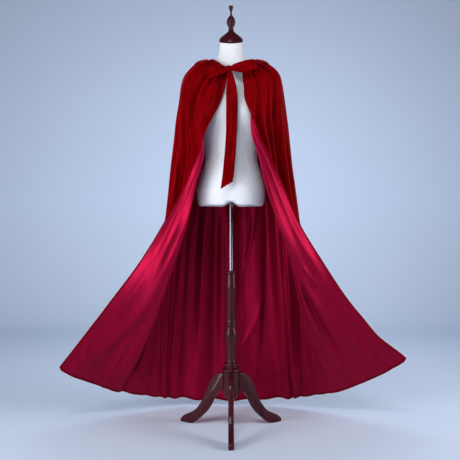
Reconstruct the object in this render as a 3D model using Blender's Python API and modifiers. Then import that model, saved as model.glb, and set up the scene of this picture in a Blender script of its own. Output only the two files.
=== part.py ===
# A hooded velvet cloak with a satin lining, on a limbless dress form with a turned tripod stand.
# Metres, +Z up. The viewer stands on the -Y side, so +X is the viewer's right and +Y is the back.
# The origin lies on the floor, under the middle of the whole thing's box.

import math

import bmesh
import bpy
import numpy as np

# ---- where things stand ------------------------------------------------------------------
POST_X, POST_Y = -0.0099, -0.0626        # axis of post, pole and form
TOUCH = 0.0003                           # gap between pieces that touch or are sewn together

# ---- cloth -------------------------------------------------------------------------------
VELVET_WALL = 0.0014
LINING_WALL = 0.0010
COLUMNS_PER_FOLD = 4
CLOAK_ROWS = (0.0, 0.014, 0.038, 0.066, 0.10, 0.132, 0.166, 0.20, 0.235, 0.27,
              0.36, 0.47, 0.60, 0.78, 1.0)

# Lines down the cloak, as seen in plan and height from the post's axis. One row for each
# section round the cloak: share is its place down the cloth, from neckline to hem.
LINE_COLUMNS = ("share", "side_x", "side_y", "side_z", "roll_x", "roll_y", "roll_z",
                "edge_x", "edge_y", "edge_z")
LEFT_LINES = (
    (0.000, -0.088, 0.002, 1.6610, -0.064, -0.078, 1.6330, -0.014, -0.104, 1.597),
    (0.038, -0.146, 0.004, 1.6480, -0.088, -0.110, 1.5880, -0.021, -0.121, 1.540),
    (0.094, -0.203, 0.008, 1.5980, -0.114, -0.134, 1.5030, -0.049, -0.133, 1.448),
    (0.181, -0.228, 0.012, 1.4620, -0.135, -0.149, 1.3620, -0.101, -0.167, 1.337),
    (0.225, -0.237, 0.014, 1.3930, -0.126, -0.146, 1.3000, -0.121, -0.168, 1.288),
    (0.269, -0.243, 0.016, 1.3240, -0.119, -0.143, 1.2340, -0.140, -0.159, 1.236),
    (0.356, -0.260, 0.020, 1.1860, -0.151, -0.134, 1.0920, -0.200, -0.120, 1.090),
    (0.469, -0.282, 0.028, 1.0060, -0.193, -0.116, 0.9170, -0.298, -0.058, 0.925),
    (0.594, -0.315, 0.060, 0.8100, -0.251, -0.062, 0.7370, -0.399, -0.030, 0.766),
    (0.750, -0.345, 0.165, 0.5000, -0.355, 0.060, 0.4900, -0.549, 0.000, 0.570),
    (1.000, -0.360, 0.325, 0.0620, -0.530, 0.245, 0.1070, -0.785, 0.050, 0.272),
)
RIGHT_LINES = (
    (0.000, 0.090, 0.002, 1.6610, 0.080, -0.072, 1.6350, 0.048, -0.101, 1.600),
    (0.038, 0.150, 0.004, 1.6500, 0.092, -0.110, 1.5850, 0.052, -0.120, 1.545),
    (0.094, 0.213, 0.008, 1.5980, 0.104, -0.134, 1.5050, 0.061, -0.139, 1.462),
    (0.135, 0.228, 0.010, 1.5350, 0.099, -0.143, 1.4320, 0.086, -0.164, 1.410),
    (0.181, 0.238, 0.012, 1.4620, 0.090, -0.146, 1.3450, 0.103, -0.165, 1.338),
    (0.269, 0.258, 0.016, 1.3240, 0.120, -0.145, 1.2150, 0.167, -0.145, 1.215),
    (0.356, 0.275, 0.020, 1.1860, 0.149, -0.134, 1.0890, 0.228, -0.110, 1.090),
    (0.469, 0.295, 0.028, 1.0060, 0.205, -0.112, 0.9300, 0.300, -0.057, 0.931),
    (0.594, 0.318, 0.060, 0.8100, 0.270, -0.057, 0.7450, 0.409, -0.030, 0.757),
    (0.750, 0.345, 0.165, 0.5000, 0.355, 0.060, 0.4920, 0.542, 0.000, 0.566),
    (1.000, 0.360, 0.325, 0.0640, 0.530, 0.246, 0.1100, 0.805, 0.050, 0.313),
)
BACK_COLUMNS = ("share", "y", "z")
BACK_LINE = (
    (0.000, 0.078, 1.672),
    (0.038, 0.112, 1.625),
    (0.094, 0.132, 1.540),
    (0.181, 0.149, 1.400),
    (0.269, 0.165, 1.262),
    (0.356, 0.182, 1.124),
    (0.469, 0.207, 0.946),
    (0.594, 0.238, 0.750),
    (0.750, 0.282, 0.500),
    (1.000, 0.383, 0.030),
)
# Where the roll of the turned-back front and the side lie across the cloth, from front
# edge (0) to the middle of the back (0.5).
PLACE_COLUMNS = ("share", "roll", "side")
PLACES = (
    (0.00, 0.115, 0.280),
    (0.04, 0.105, 0.270),
    (0.10, 0.094, 0.258),
    (0.18, 0.090, 0.250),
    (0.27, 0.090, 0.245),
    (0.47, 0.090, 0.240),
    (0.60, 0.092, 0.240),
    (0.75, 0.105, 0.245),
    (1.00, 0.150, 0.285),
)
ACROSS_BACK = 0.5
QUARTER_ROUND = 0.76                     # how full the back is between side and middle
FLANK_COLUMNS = ("share", "full")
FLANK_FULL = (
    (0.00, 0.50),
    (0.10, 0.48),
    (0.20, 0.34),
    (0.27, 0.20),
    (0.36, 0.08),
    (0.60, 0.00),
    (1.00, 0.00),
)

# Folds from the left front edge to the right one: share of the cloth's width that each takes,
# and its depth against the usual one at the neck, at the arms and at the hem.
FOLD_COLUMNS = ("width", "neck", "arm", "hem")
FOLDS = (
    (0.85, 0.5, 0.15, 0.10),
    (0.50, 0.8, 0.10, 0.15),
    (0.55, 1.0, 0.30, 0.20),
    (0.80, 1.0, 0.85, 0.35),
    (0.95, 1.1, 1.15, 0.50),
    (0.85, 0.9, 0.80, 0.60),
    (1.00, 1.1, 1.10, 0.75),
    (1.10, 1.0, 1.00, 0.70),
    (0.90, 1.0, 0.90, 0.90),
    (1.15, 1.1, 1.10, 1.00),
    (0.95, 0.9, 0.85, 0.70),
    (1.10, 1.0, 1.10, 1.00),
    (0.90, 1.1, 0.90, 0.80),
    (1.05, 1.0, 1.05, 0.80),
    (0.90, 0.9, 0.85, 0.60),
    (0.95, 1.1, 1.15, 0.42),
    (0.80, 1.0, 0.85, 0.28),
    (0.55, 0.9, 0.30, 0.20),
    (0.50, 0.7, 0.10, 0.15),
    (0.85, 0.5, 0.15, 0.10),
)
FOLD_DEPTH_COLUMNS = ("share", "depth")
FOLD_DEPTH = (
    (0.00, 0.0010),
    (0.03, 0.0026),
    (0.09, 0.0052),
    (0.25, 0.0075),
    (0.50, 0.0085),
    (1.00, 0.0120),
)
NECK_SHARE = 0.25                        # the neck's depths fade into the arms' down to here
ARM_SHARE = 0.35                         # and the arms' into the hem's from here
ROLL_CALM, ROLL_CALM_WIDTH = 0.95, 0.035  # the folds die out beside the roll
ROLL_CALM_FROM = 0.08
SIDE_SEAMS = (0.285, 0.715)              # where fronts and back are sewn together

# ---- hood, thrown back and hanging as a pouch --------------------------------------------
HOOD_FROM, HOOD_TO = 0.165, 0.835        # its front corners, across the cloth
HOOD_STEPS = 22
HOOD_CLEAR = 0.0040                      # between the cloak and the hood that lies on it
HOOD_SEAM_CLEAR = 0.0011                 # and along its seam
HOOD_START = 0.0105                      # its seam below the neckline, as a share of the length
HOOD_DEPTH_SIDE, HOOD_DEPTH_BACK = 0.022, 0.215
HOOD_BELLY_SIDE, HOOD_BELLY_BACK = 0.006, 0.080
HOOD_DEPTH_GROWTH, HOOD_BELLY_GROWTH = 4, 5       # how late both swell from side to back
HOOD_COLUMNS = ("drop", "stand_off")     # down and back up one section: share of depth and belly
HOOD_SECTION = (
    (0.00, 0.00),
    (0.08, 0.00),
    (0.18, 0.00),
    (0.34, 0.00),
    (0.62, 0.02),
    (0.88, 0.08),
    (1.00, 0.24),
    (1.03, 0.46),
    (0.94, 0.70),
    (0.74, 0.90),
    (0.48, 1.00),
    (0.24, 1.00),
    (0.08, 0.94),
)

# ---- neck band and bow -------------------------------------------------------------------
BAND_FROM, BAND_TO = -0.0022, 0.0080     # along the cloth at the neckline, as shares
BAND_WALL = 0.0016
BAND_CLEAR = 0.0010
BAND_STEPS = 42
BAND_END = (0.48, 0.99)                  # its right end runs on behind the knot, as shares of the way
KNOT_AT = (-0.0086, -0.1275, 1.5930)
KNOT_SIZE = (0.036, 0.026, 0.029)
LOOP_WALL = 0.0015
LOOP_STEPS = 18
LOOP_MOUTH = 0.30                        # each loop starts and ends this turn short of a whole one
LOOP_ROOT_DEPTH = 0.25                   # its depth at the knot, as a share
LOOP_DROOP = 0.004
LOOP_ROWS = (0.5, 0.2, -0.2, -0.5)       # across the ribbon, as shares of its width
LOOP_COLUMNS = ("name", "tip_x", "tip_z", "root", "knot_width", "tip_width", "depth", "back_y")
LOOPS = (
    ("bow_loop_left", -0.1030, 1.5740, 0.0148, 0.022, 0.044, 0.030, -0.1285),
    ("bow_loop_right", 0.1060, 1.6130, 0.0140, 0.022, 0.056, 0.032, -0.1295),
)
TAIL_WALL = 0.0015
TAIL_COLUMNS = ("z", "x", "half_width", "y")
TAIL_FRONT = (
    (1.5782, -0.0075, 0.0080, -0.1305),
    (1.5450, -0.0020, 0.0140, -0.1405),
    (1.4900, 0.0005, 0.0215, -0.1450),
    (1.4000, 0.0010, 0.0222, -0.1455),
    (1.3200, 0.0000, 0.0215, -0.1440),
    (1.2300, -0.0050, 0.0228, -0.1430),
    (1.1500, -0.0120, 0.0240, -0.1430),
    (1.0910, -0.0185, 0.0262, -0.1430),
)
TAIL_FRONT_SLANT = 0.032                 # the cut end falls by this much across the ribbon
TAIL_BEHIND_SHIFT = (0.0035, 0.0050, 0.016)    # the second tail: right, back and shorter by
TAIL_STEPS = 4
TAIL_ROWS = 14
TAIL_SLANT_ROWS = 3                      # the last ones, over which the slant grows
TAIL_CURL, TAIL_CURL_TURN = 0.0018, 0.9   # height of the curl, and its turn from row to row

# ---- dress form --------------------------------------------------------------------------
FORM_SEGMENTS = 28
FORM_ROUND = 2.25                        # exponent of its oval sections
FORM_COLUMNS = ("z", "half_x", "front_y", "back_y")
FORM_SECTIONS = (
    (1.7480, 0.0515, -0.056, 0.047),
    (1.7150, 0.0525, -0.056, 0.049),
    (1.6900, 0.0560, -0.059, 0.053),
    (1.6720, 0.0650, -0.062, 0.060),
    (1.6590, 0.0800, -0.064, 0.066),
    (1.6471, 0.1120, -0.066, 0.073),
    (1.6312, 0.1500, -0.071, 0.081),
    (1.6050, 0.1780, -0.086, 0.091),
    (1.5700, 0.1900, -0.101, 0.099),
    (1.5200, 0.1880, -0.112, 0.104),
    (1.4600, 0.1780, -0.120, 0.106),
    (1.4000, 0.1660, -0.124, 0.104),
    (1.3400, 0.1480, -0.118, 0.098),
    (1.2700, 0.1280, -0.103, 0.087),
    (1.2150, 0.1210, -0.096, 0.083),
    (1.1500, 0.1390, -0.103, 0.096),
    (1.0900, 0.1530, -0.108, 0.109),
    (1.0450, 0.1520, -0.104, 0.112),
    (1.0170, 0.1470, -0.098, 0.106),
    (1.0080, 0.1380, -0.090, 0.097),
)
CROTCH_RISE, CROTCH_HALF_WIDTH = 0.017, 0.026
NECK_TILT = 0.45                         # the top of the neck leans down to the front, as a slope

# ---- neck cap with finial ----------------------------------------------------------------
TURNED_STEPS = 20
PROFILE_COLUMNS = ("radius", "z")
CAP_PROFILE = (
    (0.0095, 1.9060), (0.0100, 1.8985), (0.0080, 1.8900), (0.0042, 1.8850),
    (0.0040, 1.8640), (0.0085, 1.8600), (0.0150, 1.8520), (0.0195, 1.8380),
    (0.0190, 1.8260), (0.0140, 1.8160), (0.0105, 1.8090), (0.0110, 1.7960),
    (0.0170, 1.7880), (0.0300, 1.7790), (0.0440, 1.7690), (0.0520, 1.7600),
    (0.0535, 1.7535), (0.0530, 1.7484),
)
CAP_RIM_Z = CAP_PROFILE[-2][1]
CAP_LEAN_TOP = 1.8000                    # above this the finial stands upright
CAP_Y = -0.0045                          # the middle of the neck, in front of the post

# ---- pole, post and legs -----------------------------------------------------------------
POLE_RADIUS = 0.0090
POLE_BOTTOM = 0.5200
SOCKET_RADIUS, SOCKET_HEIGHT = 0.0125, 0.0120
SEAT_Z = FORM_SECTIONS[-1][0] + CROTCH_RISE
SEAT_RADIUS = 0.0180                     # the flat under the torso that the pole screws into
BORE_RADIUS = 0.0095                     # the post's bore, which the pole slides in
BORE_BOTTOM = 0.3600
POST_PROFILE = (
    (0.0250, 0.7160), (0.0275, 0.7130), (0.0270, 0.7080), (0.0215, 0.7040),
    (0.0225, 0.6900), (0.0225, 0.6480), (0.0245, 0.6440), (0.0245, 0.6370),
    (0.0215, 0.6330), (0.0212, 0.4880), (0.0225, 0.4830), (0.0272, 0.4790),
    (0.0272, 0.4700), (0.0225, 0.4660), (0.0240, 0.4580), (0.0298, 0.4400),
    (0.0300, 0.4280), (0.0270, 0.4050), (0.0235, 0.3700), (0.0225, 0.3300),
    (0.0230, 0.3080), (0.0310, 0.3020), (0.0315, 0.2960), (0.0300, 0.2900),
    (0.0290, 0.2840), (0.0400, 0.2790), (0.0430, 0.2735), (0.0420, 0.2685),
    (0.0360, 0.2650), (0.0345, 0.2500), (0.0345, 0.1700), (0.0300, 0.1500),
    (0.0180, 0.1400),
)
LEG_COUNT = 3
LEG_HALF_THICKNESS = 0.0120
LEG_OUTLINE_COLUMNS = ("reach", "z")     # reach is measured from the post's axis
LEG_OUTLINE = (
    (0.0349, 0.2520), (0.0560, 0.2545), (0.0820, 0.2400), (0.1060, 0.2120), (0.1230, 0.1720),
    (0.1380, 0.1350), (0.1560, 0.1040), (0.1820, 0.0690), (0.2160, 0.0490), (0.2460, 0.0360),
    (0.2640, 0.0210), (0.2700, 0.0080), (0.2640, 0.0000), (0.2060, 0.0000), (0.1900, 0.0100),
    (0.1560, 0.0380), (0.1260, 0.0680), (0.1040, 0.1000), (0.0880, 0.1350), (0.0680, 0.1620),
    (0.0349, 0.1780),
)


# ---- start of the scene ------------------------------------------------------------------
for old in list(bpy.data.objects):
    bpy.data.objects.remove(old, do_unlink=True)

cloak_collection = bpy.data.collections.new("hooded_cloak")
bpy.context.scene.collection.children.link(cloak_collection)


def finish(name, colour, roughness, metallic=0.0):
    """A plain surface finish."""
    material = bpy.data.materials.new(name)
    material.use_nodes = True
    shader = material.node_tree.nodes["Principled BSDF"]
    shader.inputs["Base Color"].default_value = (*colour, 1.0)
    shader.inputs["Roughness"].default_value = roughness
    shader.inputs["Metallic"].default_value = metallic
    material.diffuse_color = (*colour, 1.0)
    return material


VELVET = finish("red velvet", (0.27, 0.002, 0.008), 0.75)
SATIN = finish("crimson satin", (0.42, 0.010, 0.080), 0.35)
JERSEY = finish("white jersey", (0.80, 0.81, 0.84), 0.60)
MAHOGANY = finish("dark mahogany", (0.045, 0.012, 0.016), 0.25)
CHROME = finish("chromed tube", (0.62, 0.65, 0.70), 0.18, 1.0)


def add_object(name, data, material):
    """Links one named piece to the model, standing on the post's axis."""
    piece = bpy.data.objects.new(name, data)
    cloak_collection.objects.link(piece)
    piece.location = (POST_X, POST_Y, 0.0)
    data.materials.append(material)
    return piece


def mesh_from(name, vertices, faces):
    mesh = bpy.data.meshes.new(name)
    mesh.from_pydata([tuple(v) for v in vertices], [], faces)
    mesh.validate()
    mesh.shade_smooth()
    return mesh


# ---- smooth curves through table rows ----------------------------------------------------
def column(table, columns, name):
    return np.array([row[columns.index(name)] for row in table])


def smooth_through(knots, values, where):
    """Values at each place of a smooth curve through the knots.

    knots is one row for all places or a row for each, and values holds an array for each knot.
    """
    where = np.asarray(where, float)
    values = np.asarray(values, float)
    table = values if values.ndim == 3 else np.broadcast_to(values, (len(where),) + values.shape)
    knots = np.broadcast_to(np.asarray(knots, float), table.shape[:2])
    step = np.diff(knots, axis=1)[:, :, None]
    slope = np.diff(table, axis=1) / step
    tangent = np.empty_like(table)
    tangent[:, 0] = slope[:, 0]
    tangent[:, -1] = slope[:, -1]
    weight = step[:, 1:] / (step[:, 1:] + step[:, :-1])
    tangent[:, 1:-1] = weight * slope[:, :-1] + (1 - weight) * slope[:, 1:]
    index = np.clip((knots <= where[:, None]).sum(axis=1) - 1, 0, knots.shape[1] - 2)
    each = np.arange(len(where))
    width = (knots[each, index + 1] - knots[each, index])[:, None]
    u = (where - knots[each, index])[:, None] / width
    low, high = table[each, index], table[each, index + 1]
    out, into = tangent[each, index] * width, tangent[each, index + 1] * width
    return (low * (1 + 2 * u) * (1 - u) ** 2 + out * u * (1 - u) ** 2
            + high * u * u * (3 - 2 * u) + into * u * u * (u - 1))


# ---- the cloak's own surface -------------------------------------------------------------
def line_points(table, line, shares):
    """Points of one line down the cloak at the given shares of its length."""
    knots = column(table, LINE_COLUMNS, "share")
    values = np.stack([column(table, LINE_COLUMNS, f"{line}_{axis}") for axis in "xyz"], axis=1)
    return smooth_through(knots, values, shares)


def back_points(shares):
    knots = column(BACK_LINE, BACK_COLUMNS, "share")
    depth = column(BACK_LINE, BACK_COLUMNS, "y")
    height = column(BACK_LINE, BACK_COLUMNS, "z")
    return smooth_through(knots, np.stack([depth * 0, depth, height], axis=1), shares)


def half_section(table, shares):
    """The lines of one half of the cloak, from its front edge to the middle of the back."""
    edge, roll, side = (line_points(table, line, shares) for line in ("edge", "roll", "side"))
    back = back_points(shares)
    full = np.interp(shares, *np.array(FLANK_FULL).T)[:, None]
    corner = np.stack([side[:, 0], roll[:, 1], (side[:, 2] + roll[:, 2]) / 2], axis=1)
    flank = (roll + side) / 2 * (1 - full) + corner * full
    quarter = side * 0.0
    quarter[:, 0] = side[:, 0] * QUARTER_ROUND
    quarter[:, 1] = side[:, 1] + (back[:, 1] - side[:, 1]) * QUARTER_ROUND
    quarter[:, 2] = (side[:, 2] + back[:, 2]) / 2
    return [edge, roll, flank, side, quarter, back]


def half_places(shares):
    """Places across the cloth of the same lines, a row for each share."""
    table = np.array(PLACES)
    roll, side = smooth_through(table[:, 0], table[:, 1:], shares).T
    edge, back = np.zeros_like(roll), np.full_like(roll, ACROSS_BACK)
    return np.stack([edge, roll, (roll + side) / 2, side, (side + back) / 2, back], axis=1)


def smooth_cloak(across, shares):
    """Points of the cloak without its folds, one for each pair of places."""
    left = half_section(LEFT_LINES, shares)
    right = half_section(RIGHT_LINES, shares)
    lines = np.stack(left + right[-2::-1], axis=1)
    half = half_places(shares)
    places = np.concatenate([half, 1 - half[:, -2::-1]], axis=1)
    return smooth_through(places, lines, across)


def smooth_normals(across, shares, step=0.002):
    """Outward directions of that surface."""
    along = (smooth_cloak(np.clip(across + step, 0, 1), shares)
             - smooth_cloak(np.clip(across - step, 0, 1), shares))
    down = (smooth_cloak(across, np.clip(shares + step, 0, 1))
            - smooth_cloak(across, np.clip(shares - step, 0, 1)))
    out = np.cross(along, down)
    return out / np.linalg.norm(out, axis=1, keepdims=True)


FOLD_ENDS = np.concatenate([[0.0], np.cumsum(column(FOLDS, FOLD_COLUMNS, "width"))])
FOLD_ENDS = FOLD_ENDS / FOLD_ENDS[-1]
FOLD_MIDDLES = (FOLD_ENDS[1:] + FOLD_ENDS[:-1]) / 2


def usual_depth(shares):
    return np.interp(shares, *np.array(FOLD_DEPTH).T)


def fold_height(across, shares):
    """How far the folds stand out of the smooth surface."""
    turn = np.interp(across, FOLD_ENDS, np.arange(len(FOLD_ENDS)))
    at_neck = np.interp(across, FOLD_MIDDLES, column(FOLDS, FOLD_COLUMNS, "neck"))
    at_arm = np.interp(across, FOLD_MIDDLES, column(FOLDS, FOLD_COLUMNS, "arm"))
    at_hem = np.interp(across, FOLD_MIDDLES, column(FOLDS, FOLD_COLUMNS, "hem"))
    upper = np.clip(shares / NECK_SHARE, 0, 1)
    lower = np.clip((shares - ARM_SHARE) / (1 - ARM_SHARE), 0, 1)
    own = at_neck * (1 - upper) + at_arm * upper * (1 - lower) + at_hem * lower
    roll = np.interp(shares, *np.array(PLACES).T[:2])
    from_roll = np.maximum(np.minimum(across, 1 - across) - roll, 0)
    calm = ROLL_CALM * np.exp(-(from_roll / ROLL_CALM_WIDTH) ** 2)
    own = own * (1 - calm * np.clip(shares / ROLL_CALM_FROM, 0, 1))
    return -np.cos(2 * math.pi * turn) * own * usual_depth(shares)


def fold_columns():
    """Places across the cloth, with the same number of columns in each fold."""
    places = []
    for start, end in zip(FOLD_ENDS[:-1], FOLD_ENDS[1:]):
        places += [start + (end - start) * k / COLUMNS_PER_FOLD for k in range(COLUMNS_PER_FOLD)]
    return np.array(places + [1.0])


def grid_normals(points):
    """At each point of a grid, the mean direction of the triangles round it."""
    a, b = points[:-1, :-1], points[:-1, 1:]
    d, e = points[1:, :-1], points[1:, 1:]
    upper = np.cross(b - a, e - a)
    lower = np.cross(e - a, d - a)
    upper = upper / np.linalg.norm(upper, axis=2, keepdims=True)
    lower = lower / np.linalg.norm(lower, axis=2, keepdims=True)
    out = np.zeros_like(points)
    out[:-1, :-1] += upper + lower
    out[1:, 1:] += upper + lower
    out[:-1, 1:] += upper
    out[1:, :-1] += lower
    return out / np.linalg.norm(out, axis=2, keepdims=True)


def cloak_grid():
    across = fold_columns()
    rows = np.array(CLOAK_ROWS)
    many_across = np.tile(across, len(rows))
    many_shares = np.repeat(rows, len(across))
    points = smooth_cloak(many_across, many_shares)
    height = fold_height(many_across, many_shares)
    points = points + smooth_normals(many_across, many_shares) * height[:, None]
    return across, points.reshape(len(rows), len(across), 3)


# ---- walls of cloth ----------------------------------------------------------------------
def wall(name, points, normals, low, high, material):
    """A closed wall between two offsets of one grid of points."""
    rows, columns = points.shape[:2]
    outer = (points + normals * high).reshape(-1, 3)
    inner = (points + normals * low).reshape(-1, 3)
    count = rows * columns
    faces = []
    for r in range(rows - 1):
        for c in range(columns - 1):
            a = r * columns + c
            b, d, e = a + 1, a + columns, a + columns + 1
            faces += [(a, b, e), (a, e, d)]
            faces += [(a + count, e + count, b + count), (a + count, d + count, e + count)]
    top = [c for c in range(columns)]
    right = [r * columns + columns - 1 for r in range(1, rows)]
    bottom = [(rows - 1) * columns + c for c in range(columns - 2, -1, -1)]
    left = [r * columns for r in range(rows - 2, 0, -1)]
    rim = top + right + bottom + left
    for k, a in enumerate(rim):
        b = rim[(k + 1) % len(rim)]
        if a < b:
            faces += [(b, a, a + count), (b, a + count, b + count)]
        else:
            faces += [(b, a, b + count), (a, a + count, b + count)]
    return add_object(name, mesh_from(name, np.concatenate([outer, inner]), faces), material)


def pulled_in(points, first, last, pull_first, pull_last):
    """The columns from first to last, with a seam's end column drawn in by half the gap."""
    part = points[:, first:last + 1].copy()
    for end, inward, wanted in ((0, 1, pull_first), (-1, -2, pull_last)):
        if wanted:
            step = part[:, inward] - part[:, end]
            part[:, end] += step / np.linalg.norm(step, axis=1, keepdims=True) * TOUCH / 2
    return part


def cloak_panels():
    """Two fronts and a back, in velvet outside and satin inside, sewn at the sides."""
    across, points = cloak_grid()
    normals = grid_normals(points)
    seams = [int(np.argmin(np.abs(across - seam))) for seam in SIDE_SEAMS]
    spans = (
        ("front_left", 0, seams[0], False, True),
        ("back", seams[0], seams[1], True, True),
        ("front_right", seams[1], len(across) - 1, True, False),
    )
    for span, first, last, pull_first, pull_last in spans:
        part = pulled_in(points, first, last, pull_first, pull_last)
        out = normals[:, first:last + 1]
        wall(f"cloak_{span}", part, out, TOUCH / 2, TOUCH / 2 + VELVET_WALL, VELVET)
        wall(f"lining_{span}", part, out, -TOUCH / 2 - LINING_WALL, -TOUCH / 2, SATIN)


def hood():
    """A velvet hood in two halves with its lining, hanging open down the back."""
    across = np.linspace(HOOD_FROM, HOOD_TO, HOOD_STEPS + 1)
    swell = np.sin(math.pi * (across - HOOD_FROM) / (HOOD_TO - HOOD_FROM))
    depth = HOOD_DEPTH_SIDE + (HOOD_DEPTH_BACK - HOOD_DEPTH_SIDE) * swell ** HOOD_DEPTH_GROWTH
    belly = HOOD_BELLY_SIDE + (HOOD_BELLY_BACK - HOOD_BELLY_SIDE) * swell ** HOOD_BELLY_GROWTH
    rows = []
    for index, (drop, stand_off) in enumerate(HOOD_SECTION):
        shares = HOOD_START + depth * drop
        clear = usual_depth(shares) * 1.2 + VELVET_WALL * 2 + (HOOD_CLEAR if index else HOOD_SEAM_CLEAR)
        lift = clear + belly * stand_off
        rows.append(smooth_cloak(across, shares) + smooth_normals(across, shares) * lift[:, None])
    points = np.stack(rows)
    normals = grid_normals(points)
    middle = HOOD_STEPS // 2
    for name, first, last, pull_first, pull_last in (
            ("hood_left", 0, middle, False, True), ("hood_right", middle, HOOD_STEPS, True, False)):
        part = pulled_in(points, first, last, pull_first, pull_last)
        wall(name, part, normals[:, first:last + 1], -TOUCH / 2 - VELVET_WALL, -TOUCH / 2, VELVET)
    wall("hood_lining", points, normals, TOUCH / 2, TOUCH / 2 + LINING_WALL, SATIN)


def neck_band():
    """The ribbon sewn round the neckline, with both ends going into the knot."""
    across = np.linspace(0, 1, BAND_STEPS + 1)
    rows = []
    for share in np.linspace(BAND_FROM, BAND_TO, 3):
        inside = np.full_like(across, max(share, 0.0))
        line = smooth_cloak(across, inside)
        if share < 0:
            step = smooth_cloak(across, inside + 0.002) - line
            line = line + step * share / 0.002
        lift = usual_depth(inside) + VELVET_WALL + BAND_CLEAR
        line = line + smooth_normals(across, inside) * lift[:, None]
        knot = np.array([KNOT_AT[0], KNOT_AT[1] + KNOT_SIZE[1] / 2 + BAND_WALL, line[-1][2]])
        ends = [line[-1] + (knot - line[-1]) * part for part in BAND_END]
        rows.append(np.concatenate([line, ends]))
    points = np.stack(rows)
    wall("neck_band", points, grid_normals(points), 0.0, BAND_WALL, VELVET)


def bow_loops():
    """Each loop is one strip of ribbon that goes out from the knot and comes back."""
    turn = np.linspace(LOOP_MOUTH, 2 * math.pi - LOOP_MOUTH, LOOP_STEPS + 1)
    out = (1 - np.cos(turn)) / 2
    spread = np.sqrt(out)
    for row in LOOPS:
        size = dict(zip(LOOP_COLUMNS, row))
        start = np.array(KNOT_AT)
        tip = np.array([size["tip_x"], KNOT_AT[1], size["tip_z"]])
        start = start + (tip - start) / np.linalg.norm(tip - start) * size["root"]
        along = tip - start
        across = np.array([-along[2], 0.0, along[0]]) / np.linalg.norm(along)
        across = across * np.sign(across[2])
        width = size["knot_width"] + (size["tip_width"] - size["knot_width"]) * spread
        centre = start[None, :] + along[None, :] * out[:, None]
        thick = LOOP_ROOT_DEPTH + (1 - LOOP_ROOT_DEPTH) * spread
        centre[:, 1] = size["back_y"] - size["depth"] / 2 * (thick - np.sin(turn) * spread)
        centre[:, 2] -= LOOP_DROOP * np.sin(turn / 2) ** 2
        points = np.stack([centre + across * (width * share)[:, None] for share in LOOP_ROWS])
        wall(size["name"], points, grid_normals(points), -LOOP_WALL / 2, LOOP_WALL / 2, VELVET)


def bow_knot():
    """A soft rounded knot."""
    work = bmesh.new()
    bmesh.ops.create_uvsphere(work, u_segments=12, v_segments=8, radius=1.0)
    for vertex in work.verts:
        for axis in range(3):
            value = vertex.co[axis]
            vertex.co[axis] = math.copysign(abs(value) ** 0.8, value) * KNOT_SIZE[axis] / 2
    mesh = bpy.data.meshes.new("bow_knot")
    work.to_mesh(mesh)
    work.free()
    mesh.shade_smooth()
    knot = add_object("bow_knot", mesh, VELVET)
    knot.location = (POST_X + KNOT_AT[0], POST_Y + KNOT_AT[1], KNOT_AT[2])


def bow_tails():
    """Two ribbon ends, one behind the other, cut on a slant."""
    table = np.array(TAIL_FRONT)
    knots = (table[:, 0] - table[0, 0]) / (table[-1, 0] - table[0, 0])
    shape = smooth_through(knots, table, np.linspace(0, 1, TAIL_ROWS))
    for name, shift, back, shorter in (("bow_tail_front", 0.0, 0.0, 0.0),
                                       ("bow_tail_behind", *TAIL_BEHIND_SHIFT)):
        length = shape[0, 0] - shape[-1, 0]
        rows = []
        for k, (z, x, half, y) in enumerate(shape):
            z = shape[0, 0] + (z - shape[0, 0]) * (1 - shorter / length)
            slant = TAIL_FRONT_SLANT / 2 * max(0.0, (k + 1 + TAIL_SLANT_ROWS - TAIL_ROWS) / TAIL_SLANT_ROWS)
            row = []
            for share in np.linspace(-1, 1, TAIL_STEPS + 1):
                curl = TAIL_CURL * math.cos(math.pi * share) * math.sin(k * TAIL_CURL_TURN)
                row.append((x + shift + half * share, y + back + curl, z + slant * share))
            rows.append(row)
        points = np.array(rows)
        wall(name, points, grid_normals(points), -TAIL_WALL / 2, TAIL_WALL / 2, VELVET)


# ---- the form and its stand --------------------------------------------------------------
def lofted(name, rings, material):
    """A closed solid through rings of equal count, from the top one down, with flat ends."""
    count = len(rings[0])
    vertices = [point for ring in rings for point in ring]
    faces = []
    for r in range(len(rings) - 1):
        for k in range(count):
            a = r * count + k
            b = r * count + (k + 1) % count
            faces.append((a, a + count, b + count, b))
    for ring, first, turn in ((rings[0], 0, 1), (rings[-1], (len(rings) - 1) * count, -1)):
        middle = len(vertices)
        vertices.append(tuple(np.mean(ring, axis=0)))
        for k in range(count):
            faces.append((middle, *(first + k, first + (k + 1) % count)[::turn]))
    return add_object(name, mesh_from(name, vertices, faces), material)


def dress_form():
    """A smooth closed torso, lofted through oval sections."""
    sections = np.array(FORM_SECTIONS)
    rings = []
    for index, (z, half_x, front_y, back_y) in enumerate(sections):
        ring = []
        for k in range(FORM_SEGMENTS):
            angle = 2 * math.pi * k / FORM_SEGMENTS
            cosine, sine = math.cos(angle), math.sin(angle)
            x = half_x * math.copysign(abs(cosine) ** (2 / FORM_ROUND), cosine)
            reach = back_y if sine > 0 else -front_y
            y = reach * math.copysign(abs(sine) ** (2 / FORM_ROUND), sine)
            height = z
            if index <= 1:
                height = z + NECK_TILT * y
            if index >= len(sections) - 2:
                height = z + CROTCH_RISE * math.exp(-(x / CROTCH_HALF_WIDTH) ** 4)
            ring.append((x, y, height))
        rings.append(ring)
    seat = []
    for k in range(FORM_SEGMENTS):
        angle = 2 * math.pi * k / FORM_SEGMENTS
        seat.append((SEAT_RADIUS * math.cos(angle), SEAT_RADIUS * math.sin(angle), SEAT_Z))
    rings.append(seat)
    lofted("form_torso", rings, JERSEY)


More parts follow.
